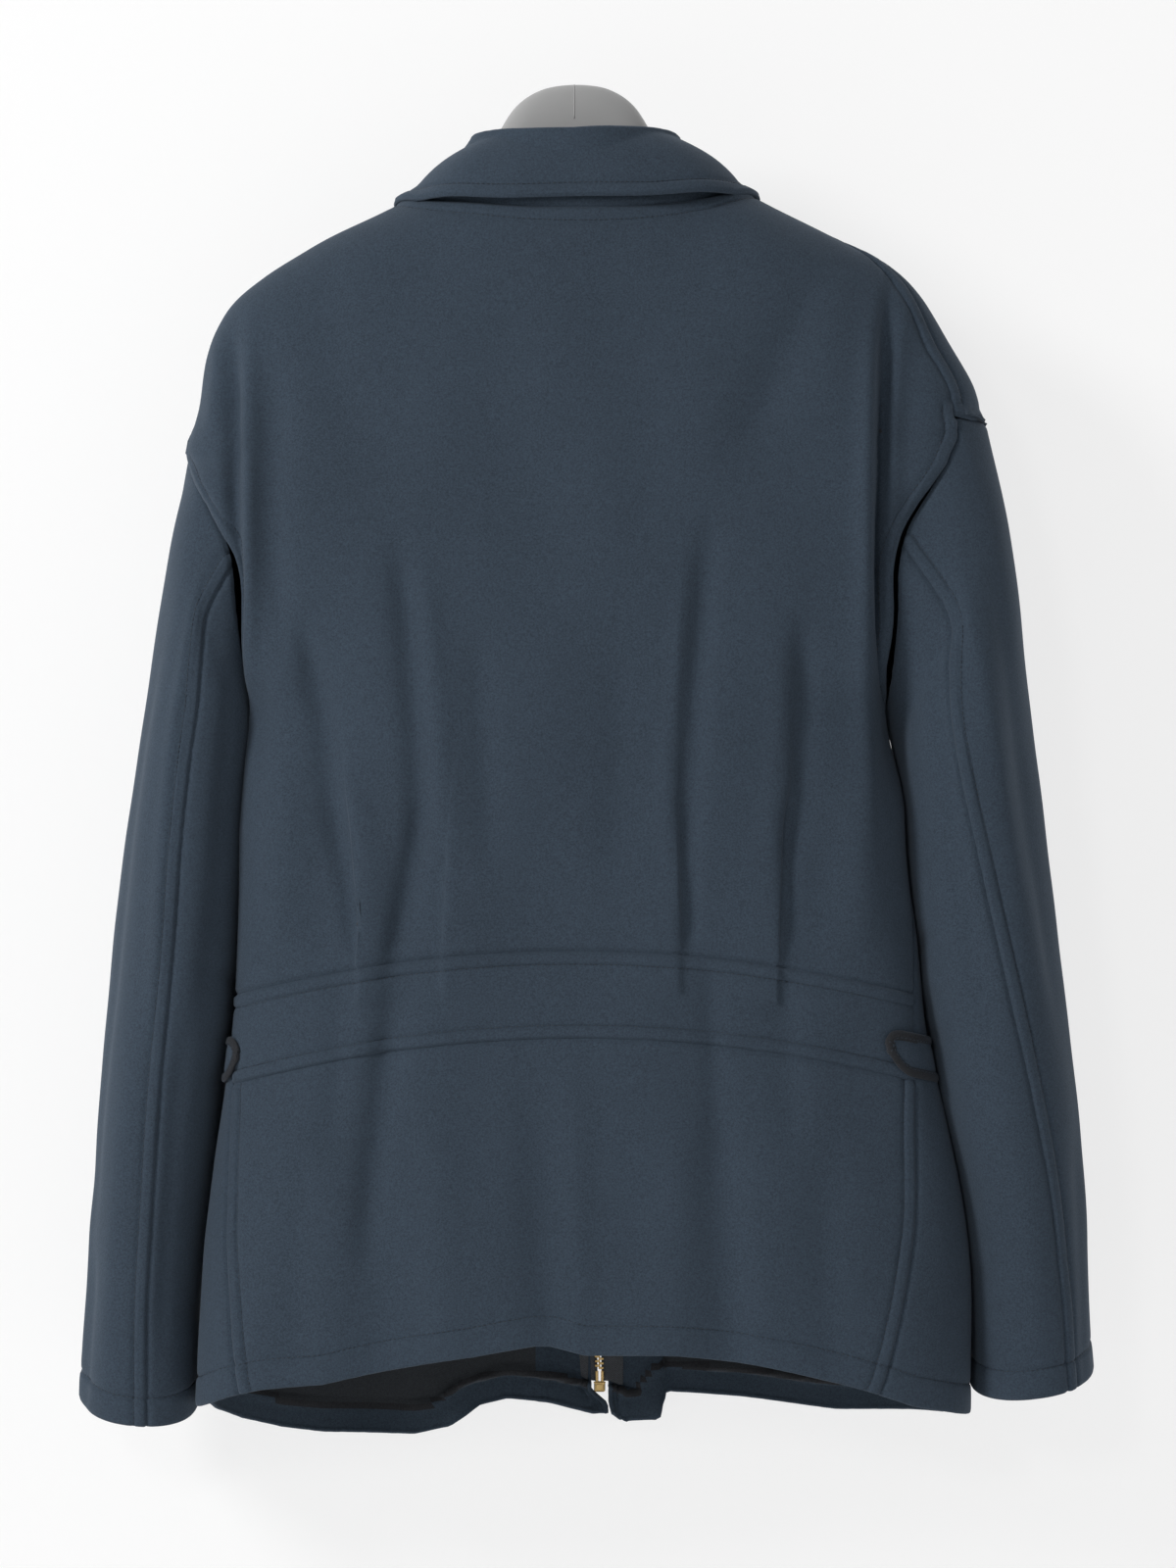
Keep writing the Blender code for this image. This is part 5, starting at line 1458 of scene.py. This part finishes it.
def zip_frames(low, high, pitch):
    """Places evenly spaced down the zip, each with its way up, across and out."""
    ts = np.linspace(low, high, 900)
    spots, outs = [], []
    for t in ts[::3]:
        points, normals = arc(FRONT, float(t))
        lengths = lengths_along(points)
        middle = length_at_x(points, lengths, zip_x(float(t)))
        spots.append(sample(points, lengths, [middle])[0])
        outs.append(sample(normals, lengths, [middle])[0])
    spots, outs = np.array(spots), np.array(outs)
    lengths = lengths_along(spots)
    places = np.arange(0, lengths[-1], pitch)
    middle, out = sample(spots, lengths, places), unit(sample(outs, lengths, places))
    up = unit(np.gradient(middle, axis=0))
    out = unit(out - up * (out * up).sum(axis=1, keepdims=True))
    return middle, up, np.cross(up, out), out


def build_zip():
    zip_top = height("neck") - 0.2
    teeth = []
    frames = zip_frames(CHAIN_LOW_T, zip_top, TOOTH_PITCH / 2)
    for number, (middle, up, across, out) in enumerate(zip(*frames)):
        side = 1 if number % 2 else -1
        spot = middle + across * side * TOOTH_OFFSET + out * (CHAIN_LIFT - CHAIN_THICK / 2)
        size = (TOOTH_REACH, TOOTH_THICK, TOOTH_LONG)
        teeth.append(rounded_box(size, TOOTH_BEVEL, spot, [across, out, up]))
    dress(add_object("zip_teeth", *joined(teeth), [BRASS], smooth=False), "zip_chain")
    inside = -(CLOTH_WALL + SEAM_GAP)
    for side, name in ((LEFT, "zip_tape_left"), (RIGHT, "zip_tape_right")):
        rows = [
            zip_row(side, t, TAPE_START, TAPE_REACH, 14)
            for t in levels_between(TAPE_LOW_T, zip_top, [0], [0])
        ]
        points, ways = split_rows(rows)
        outer = points + np.array([row[1] for row in rows]) * inside
        distance, _ = distance_to(outer, outer[:, -1] if side == RIGHT else outer[:, 0])
        outer = outer + ways * (TAPE_CORD * bell(distance, 1.2, 1.1))[..., None]
        fine = grid_normals(outer, ways)
        obj = shell(name + "_cloth", outer, fine, TAPE_WALL, [TAPE, TAPE], None, lay_out(outer), 0.4)
        dress(obj, name)
    build_zip_box()
    build_slider()


def zip_spot(z):
    """The zip's middle on the cloth's outer side, at this z."""
    places = np.linspace(height("neck"), 0, 400)
    spots = np.array([zip_row(RIGHT, float(t), 0, 1, 1)[0][-1] for t in places])
    return np.array([np.interp(-z, -spots[:, 2], spots[:, axis]) for axis in range(3)])


def build_zip_box():
    foot = zip_spot(BOX_TOP_Z) - [0, CHAIN_LIFT_MIDDLE, 0]
    width, deep, tall = BOX_SIZE
    pin = (PIN_SIZE[0], PIN_SIZE[1] + 0.5, PIN_SIZE[2] + 1)
    boxes = [
        (BOX_SIZE, 0.7, [0, 0, -tall / 2]),
        ((width - 2.2, deep + 0.5, tall - 2.4), 0.4, [0, 0, -tall / 2 - 0.3]),
        ((width + 0.5, deep + 0.3, 1.0), 0.3, [0, 0, -0.8]),
    ]
    boxes += [(pin, 0.45, [side * PIN_OFFSET * 1.25, 0, PIN_SIZE[2] / 2 - 1]) for side in (LEFT, RIGHT)]
    parts = [rounded_box(size, bevel, foot + place, np.eye(3)) for size, bevel, place in boxes]
    dress(add_object("zip_box_brass", *joined(parts), [BRASS], smooth=False), "zip_box")


def build_slider():
    """Two rounded plates on a post, and over them the bridge that holds the pull."""
    wide, deep, long = SLIDER_SIZE
    spot = zip_spot(SLIDER_Z)
    face_y = spot[1] + SLIDER_FACE
    middle = np.array([spot[0], face_y - deep / 2, SLIDER_Z])
    x, z = np.sin(turns(40)), np.cos(turns(40))
    taper = np.where(z > 0, 1.0, 0.78 + 0.22 * (1 + z))
    outline = np.stack([powered(x, 0.55) * wide / 2 * taper, 0 * x, powered(z, 0.6) * long / 2], axis=1)
    parts = []
    for low, high in ((-deep / 2, -0.9), (0.9, deep / 2)):
        levels = ((low, 0.9), (low + 0.35, 1.0), (high - 0.35, 1.0), (high, 0.9))
        parts.append(lofted([outline * scale + [0, y, 0] + middle for y, scale in levels]))
    parts.append(rounded_box((2.6, deep - 0.6, 3.4), 0.4, middle + [0, 0, 3.2], np.eye(3)))
    axis = np.array([spot[0], face_y + PULL_LIFT, SLIDER_Z + 2])
    bridge = []
    for turn in np.linspace(0, math.pi, 13):
        place = axis + [0, 0, 3.0 * math.cos(turn)]
        place[1] = face_y - 0.4 + (PULL_LIFT + 2.6) * math.sin(turn) ** 0.6
        bridge.append(wire_ring(place, np.array([0, math.sin(turn), math.cos(turn)]), 10, 1.0, 0.55))
    parts.append(lofted(bridge))
    obj = add_object("zip_slider_brass", *joined(parts), [BRASS])
    obj.data.set_sharp_from_angle(angle=SHARP_ANGLE)
    dress(obj, "zip_slider")
    build_pull(axis)


def wire_ring(place, out, count, half_width, half_height):
    """An oval ring of points round a place, across x and the way out."""
    across = np.array([1, 0, 0])
    return np.array([
        place + across * math.cos(k) * half_width + out * math.sin(k) * half_height
        for k in turns(count)
    ])


def lofted(rings):
    """A closed skin through rings of points."""
    count = len(rings[0])
    verts = np.concatenate(rings)
    faces = []
    for row in range(len(rings) - 1):
        for k in range(count):
            a, b = row * count + k, row * count + (k + 1) % count
            faces.append((a, b, b + count, a + count))
    faces.append(tuple(range(count))[::-1])
    last = (len(rings) - 1) * count
    faces.append(tuple(range(last, last + count)))
    return verts, faces


def build_pull(axis):
    """A flat tab with a window at its top, which the slider's bridge passes through."""
    wide, thick, long = PULL_SIZE
    x, z = np.sin(turns(48)), np.cos(turns(48))
    narrow = 0.72 + 0.28 * (1 - powered(z, 0.5)) / 2
    outer = np.stack([
        powered(x, 0.5) * wide / 2 * narrow, 0 * x, PULL_BAR / 2 - long / 2 + powered(z, 0.5) * long / 2
    ], axis=1)
    hole_z = -PULL_BAR / 2 - PULL_HOLE[1] / 2
    inner = np.stack([
        powered(x, 0.6) * PULL_HOLE[0] / 2, 0 * x, hole_z + powered(z, 0.6) * PULL_HOLE[1] / 2
    ], axis=1)
    half = thick / 2
    levels = [(inner, -half, 1), (outer, -half, 0.93), (outer, -half + 0.3, 1)]
    levels += [(outer, half - 0.3, 1), (outer, half, 0.93), (inner, half, 1)]
    rings = []
    for line, y, scale in levels:
        middle = line.mean(axis=0)
        rings.append(middle + (line - middle) * scale + [0, y, 0] + axis)
    count, faces = len(outer), []
    for row in range(len(rings)):
        low, high = row * count, (row + 1) % len(rings) * count
        for k in range(count):
            after = (k + 1) % count
            faces.append((low + k, low + after, high + after, high + k))
    obj = add_object("zip_pull_brass", np.concatenate(rings), faces, [BRASS], body="zip_pull")
    obj.data.set_sharp_from_angle(angle=SHARP_ANGLE)
    dress(obj, "zip_pull")


# ---------------------------------------------------------------- hanger


HANGER_POINTS = 72  # round a rib
PARTING_TURN = 1.25  # how far the seam runs down both sides of the neck, in radians


def build_hanger():
    """The moulded hanger, and the parting seam over its neck."""
    ribs = [rib._replace(x=-rib.x) for rib in HANGER[:0:-1]] + HANGER
    turn = turns(HANGER_POINTS)
    y, z = powered(np.sin(turn), 2 / HANGER_SQUARE), powered(np.cos(turn), 2 / HANGER_SQUARE)
    rings = []
    for at in np.linspace(0, len(ribs) - 1, 8 * len(ribs)):
        rib = HangerRib(*smooth_row(ribs, at))
        middle = rib.top - rib.height / 2 + rib.x * HANGER_TILT
        x = np.full(HANGER_POINTS, rib.x)
        rings.append(np.stack([x, y * rib.depth / 2, middle + z * rib.height / 2], axis=1))
    rings = np.array(rings)
    arms = np.abs(rings[..., 0]) > HANGER_ARM_X
    rings[arms] = keep_under_shoulders(rings[arms], CLOTH_WALL + SEAM_GAP + HANGER_EASE)
    depth, tall = HANGER[0].depth / 2, HANGER[0].height / 2
    ridge = []
    for turn in np.linspace(-PARTING_TURN, PARTING_TURN, 41):
        ny = powered(math.sin(turn), 2 / HANGER_SQUARE) * depth
        nz = powered(math.cos(turn), 2 / HANGER_SQUARE) * tall
        out = unit(np.array([0, ny / depth**2, nz / tall**2]))
        ridge.append(wire_ring(np.array([0, ny, nz - tall]), out, 8, 0.45, 0.28))
    for name, skin, node in (("hanger_moulding", list(rings), "hanger"), ("hanger_seam", ridge, None)):
        obj = add_object(name, *lofted(skin), [PLASTIC])
        face_out(obj.data)
        dress(obj, node)


def face_out(mesh):
    work = bmesh.new()
    work.from_mesh(mesh)
    bmesh.ops.recalc_face_normals(work, faces=work.faces)
    work.to_mesh(mesh)
    work.free()


# ---------------------------------------------------------------- materials


WALE_WIDTH, COURSE_HEIGHT = 0.0013, 0.0010
HERRINGBONE_WIDTH = 0.0022


class Nodes:
    """Builds a material's node tree in few words."""

    def __init__(self, name):
        self.material = bpy.data.materials.new(name)
        self.material.use_nodes = True
        self.tree = self.material.node_tree
        self.shader = self.tree.nodes["Principled BSDF"]
        coords = self.add("ShaderNodeTexCoord").outputs
        self.place, self.flat = coords["Object"], coords["UV"]

    def add(self, kind, **settings):
        node = self.tree.nodes.new(kind)
        for key, value in settings.items():
            setattr(node, key, value)
        return node

    def feed(self, socket, value):
        """Links another node's output to the socket, or sets its value."""
        if isinstance(value, bpy.types.NodeSocket):
            self.tree.links.new(value, socket)
        else:
            socket.default_value = value

    def set(self, node, **inputs):
        for key, value in inputs.items():
            self.feed(node.inputs[key.replace("_", " ")], value)

    def noise(self, scale, detail=3.0, rough=0.5):
        node = self.add("ShaderNodeTexNoise")
        self.set(node, Vector=self.place, Scale=scale, Detail=detail, Roughness=rough)
        return node.outputs["Fac"]

    def maths(self, operation, *values):
        node = self.add("ShaderNodeMath", operation=operation)
        for socket, value in zip(node.inputs, values):
            self.feed(socket, value)
        return node.outputs[0]

    def wave(self, value, length):
        return self.maths("SINE", self.maths("MULTIPLY", value, 2 * math.pi / length))

    def flat_axes(self):
        """How far across and how far up the laid-out cloth a place is, in metres."""
        split = self.add("ShaderNodeSeparateXYZ")
        self.set(split, Vector=self.flat)
        return split.outputs[0], split.outputs[1]

    def tones(self, share, colour, low, high):
        """Colours the shader from low to high times the colour, by share."""
        node = self.add("ShaderNodeMix", data_type="RGBA")
        self.feed(node.inputs[0], share)
        self.feed(node.inputs[6], scaled(colour, low))
        self.feed(node.inputs[7], scaled(colour, high))
        self.set(self.shader, Base_Color=node.outputs[2])

    def remap(self, value, low, high, to_low=0.0, to_high=1.0):
        node = self.add("ShaderNodeMapRange")
        self.set(node, Value=value, From_Min=low, From_Max=high, To_Min=to_low, To_Max=to_high)
        return node.outputs[0]

    def even(self, noise, reach):
        """A noise's usual range, spread from -reach to reach."""
        return self.remap(noise, 0.3, 0.7, -reach, reach)

    def bump(self, *layers):
        """layers are (height socket, distance in metres, strength), broadest first."""
        normal = None
        for level, distance, strength in layers:
            node = self.add("ShaderNodeBump")
            self.set(node, Height=level, Distance=distance, Strength=strength)
            if normal is not None:
                self.tree.links.new(normal, node.inputs["Normal"])
            normal = node.outputs["Normal"]
        self.tree.links.new(normal, self.shader.inputs["Normal"])


def scaled(colour, factor):
    return tuple(min(value * factor, 1.0) for value in colour[:3]) + (1.0,)


def knit(name, colour, heather=0.16, rough=0.92):
    """Milled knit: fine courses and wales under a fuzzy, heathered surface."""
    n = Nodes(name)
    fuzz, fibres = n.noise(1500, 2.0, 0.6), n.noise(850, 2.0, 0.6)
    mottle, broad = n.noise(130, 3.0, 0.55), n.noise(9, 3.0, 0.55)
    across, up = n.flat_axes()
    loops = n.maths("MULTIPLY", n.wave(across, WALE_WIDTH), n.wave(up, COURSE_HEIGHT))
    loops = n.maths("MULTIPLY_ADD", loops, 0.5, 0.5)
    share = n.maths("ADD", n.even(fibres, heather), 0.5)
    for more in (n.even(fuzz, 0.7 * heather), n.even(mottle, 0.02), n.even(broad, 0.03)):
        share = n.maths("ADD", share, more)
    share = n.maths("ADD", share, n.remap(loops, 0, 1, -0.05, 0.05))
    n.tones(share, colour, 0.35, 1.65)
    n.set(
        n.shader, Roughness=rough, Sheen_Weight=0.12, Sheen_Roughness=0.55,
        Sheen_Tint=(0.62, 0.74, 0.9, 1), Specular_IOR_Level=0.2,
    )
    n.bump((mottle, 0.0003, 0.12), (loops, 0.00022, 0.3), (fibres, 0.0003, 0.35), (fuzz, 0.00018, 0.3))
    return n.material


def thread_material():
    n = Nodes("sewing_thread")
    ply = n.noise(1500, 2.0, 0.5)
    n.tones(ply, THREAD_TONE, 0.7, 1.3)
    n.set(n.shader, Roughness=0.6)
    n.bump((ply, 0.0001, 0.4))
    return n.material


def tape_material():
    """Woven herringbone tape."""
    n = Nodes("herringbone_tape")
    across, up = n.flat_axes()
    fold = n.maths("PINGPONG", across, HERRINGBONE_WIDTH)
    rib = n.remap(n.wave(n.maths("ADD", up, fold), HERRINGBONE_WIDTH / 2), -1, 1)
    grain = n.noise(900, 2.0, 0.6)
    n.tones(n.maths("ADD", n.remap(rib, 0, 1, 0.2, 0.75), n.even(grain, 0.15)), TAPE_TONE, 0.45, 1.8)
    n.set(n.shader, Roughness=0.8)
    n.bump((rib, 0.0003, 0.7), (grain, 0.00012, 0.4))
    return n.material


def brass_material():
    n = Nodes("satin_brass")
    cloud, scratch = n.noise(160, 4.0, 0.6), n.noise(900, 2.0, 0.5)
    n.tones(cloud, BRASS_TONE, 0.8, 1.15)
    n.set(n.shader, Roughness=n.remap(cloud, 0.3, 0.7, 0.24, 0.4), Metallic=1.0)
    n.bump((scratch, 0.00004, 0.4))
    return n.material


def plastic_material():
    n = Nodes("moulded_grey")
    grain, cloud = n.noise(900, 3.0, 0.6), n.noise(22, 3.0, 0.5)
    n.tones(cloud, PLASTIC_TONE, 0.9, 1.1)
    n.set(n.shader, Roughness=n.remap(grain, 0.3, 0.7, 0.4, 0.52))
    n.bump((grain, 0.00006, 0.35))
    return n.material


CLOTH_TONE = (0.0385, 0.0555, 0.078)
INNER_TONE = (0.034, 0.038, 0.043)
# turn-ups and facings: the navy face cloth, painted darker for the shade inside the jacket
SHADED_TURN_TONE = (0.034, 0.050, 0.070)
BINDING_TONE = (0.022, 0.023, 0.026)
THREAD_TONE = (0.022, 0.033, 0.048)
TAPE_TONE = (0.055, 0.06, 0.068)
BRASS_TONE = (0.74, 0.52, 0.22)
PLASTIC_TONE = (0.36, 0.36, 0.36)

CLOTH = knit("milled_knit", CLOTH_TONE)
# the collar's inner sides: the face cloth, painted darker for shade
SHADED_CLOTH_UNDERSIDE = knit("milled_knit_underside_painted_shade", scaled(CLOTH_TONE, 0.8))
LINING_SIDE = knit("knit_reverse", INNER_TONE, heather=0.12)
# a copy of the face cloth with painted shade, for the turn-ups and facings
SHADED_TURN_UP = knit("knit_turn_up_painted_shade", SHADED_TURN_TONE)
BINDING = knit("bound_edge", BINDING_TONE, heather=0.2, rough=0.8)
THREAD = thread_material()
TAPE = tape_material()
BRASS = brass_material()
PLASTIC = plastic_material()

# ---------------------------------------------------------------- stage

WALL_Y = 0.100
FLOOR_Z = -1.12
WALL_HIGH, STAGE_HALF = 5, 6
WALL_GLOW = 0.74  # a white wall lit on its own, so that the jacket's shadow on it stays faint
WALL_WHITE, FLOOR_WHITE = (0.26, 0.26, 0.26, 1), (0.86, 0.86, 0.86, 1)
CAMERA_AT, CAMERA_LENS = (0.0084, -3.0, -0.4278), 112.5
WORLD_LIGHT = 0.22
Light = namedtuple("Light", "name x y z aim_x aim_z size power")
LIGHTS = [
    Light("key", -2.4, -1.9, 1.0, 0.0, -0.35, 0.9, 60),
    Light("front", -0.9, -3.3, 0.5, 0.0, -0.45, 0.5, 13),
    Light("fill", 2.2, -2.6, 0.4, 0.0, -0.45, 2.4, 3.5),
    Light("rear_key", 2.4, 1.9, 1.0, 0.0, -0.4, 0.9, 56),
    Light("rear_front", 0.9, 3.3, 0.5, 0.0, -0.4, 0.5, 13),
    Light("rear_fill", -2.0, 2.6, 0.2, 0.0, -0.4, 2.2, 8),
]


def add_plane(name, corners, material):
    mesh = bpy.data.meshes.new(name)
    mesh.from_pydata(corners, [], [(0, 1, 2, 3)])
    mesh.materials.append(material)
    link(bpy.data.objects.new(name, mesh))


def wall_material():
    """White from the front. From behind it isn't seen, so that other views pass through it."""
    n = Nodes("pale_wall")
    n.set(n.shader, Base_Color=WALL_WHITE, Roughness=0.95)
    n.set(n.shader, Emission_Color=(1, 1, 1, 1), Emission_Strength=WALL_GLOW)
    mixed = n.add("ShaderNodeMixShader")
    n.feed(mixed.inputs[0], n.add("ShaderNodeNewGeometry").outputs["Backfacing"])
    n.feed(mixed.inputs[1], n.shader.outputs[0])
    n.feed(mixed.inputs[2], n.add("ShaderNodeBsdfTransparent").outputs[0])
    n.feed(n.tree.nodes["Material Output"].inputs["Surface"], mixed.outputs[0])
    return n.material


def build_stage():
    """A pale wall and floor, soft light and the camera."""
    half = STAGE_HALF
    corners = [(-half, WALL_Y, FLOOR_Z), (half, WALL_Y, FLOOR_Z)]
    corners += [(half, WALL_Y, WALL_HIGH), (-half, WALL_Y, WALL_HIGH)]
    add_plane("backdrop", corners, wall_material())
    floor = Nodes("pale_floor")
    floor.set(floor.shader, Base_Color=FLOOR_WHITE, Roughness=0.9)
    corners = [(x, y, FLOOR_Z) for x, y in ((-half, -half), (half, -half), (half, half), (-half, half))]
    add_plane("floor", corners, floor.material)
    scene = bpy.context.scene
    scene.world = scene.world or bpy.data.worlds.new("world")
    scene.world.use_nodes = True
    background = scene.world.node_tree.nodes["Background"]
    background.inputs["Color"].default_value = (1.0, 1.0, 1.0, 1)
    background.inputs["Strength"].default_value = WORLD_LIGHT
    for light in LIGHTS:
        add_light(light)
    camera = bpy.data.cameras.new("camera")
    camera.lens = CAMERA_LENS
    scene.camera = link(bpy.data.objects.new("camera", camera))
    scene.camera.location = CAMERA_AT
    scene.camera.rotation_euler = (math.pi / 2, 0, 0)
    scene.view_settings.view_transform = "Standard"


def add_light(row):
    data = bpy.data.lights.new(row.name, "AREA")
    data.shape = "DISK"
    data.size = row.size
    data.energy = row.power
    obj = link(bpy.data.objects.new(row.name, data))
    obj.location = (row.x, row.y, row.z)
    way = Vector((row.aim_x - row.x, -row.y, row.aim_z - row.z))
    obj.rotation_euler = way.to_track_quat("-Z", "Y").to_euler()


# ---------------------------------------------------------------- the cuts

# Each cut piece's flat size: its greatest width and length in mm, the part of that rectangle that
# its cloth fills, and what it hangs from.
Cut = namedtuple("Cut", "name width length filled hangs_from")


def main():
    build_stage()
    build_back()
    build_fronts()
    build_tabs()
    build_sleeve(LEFT, "sleeve_left", SLEEVE_LEFT)
    build_sleeve(RIGHT, "sleeve_right", SLEEVE_RIGHT)
    build_collar()
    build_zip()
    build_hanger()


main()
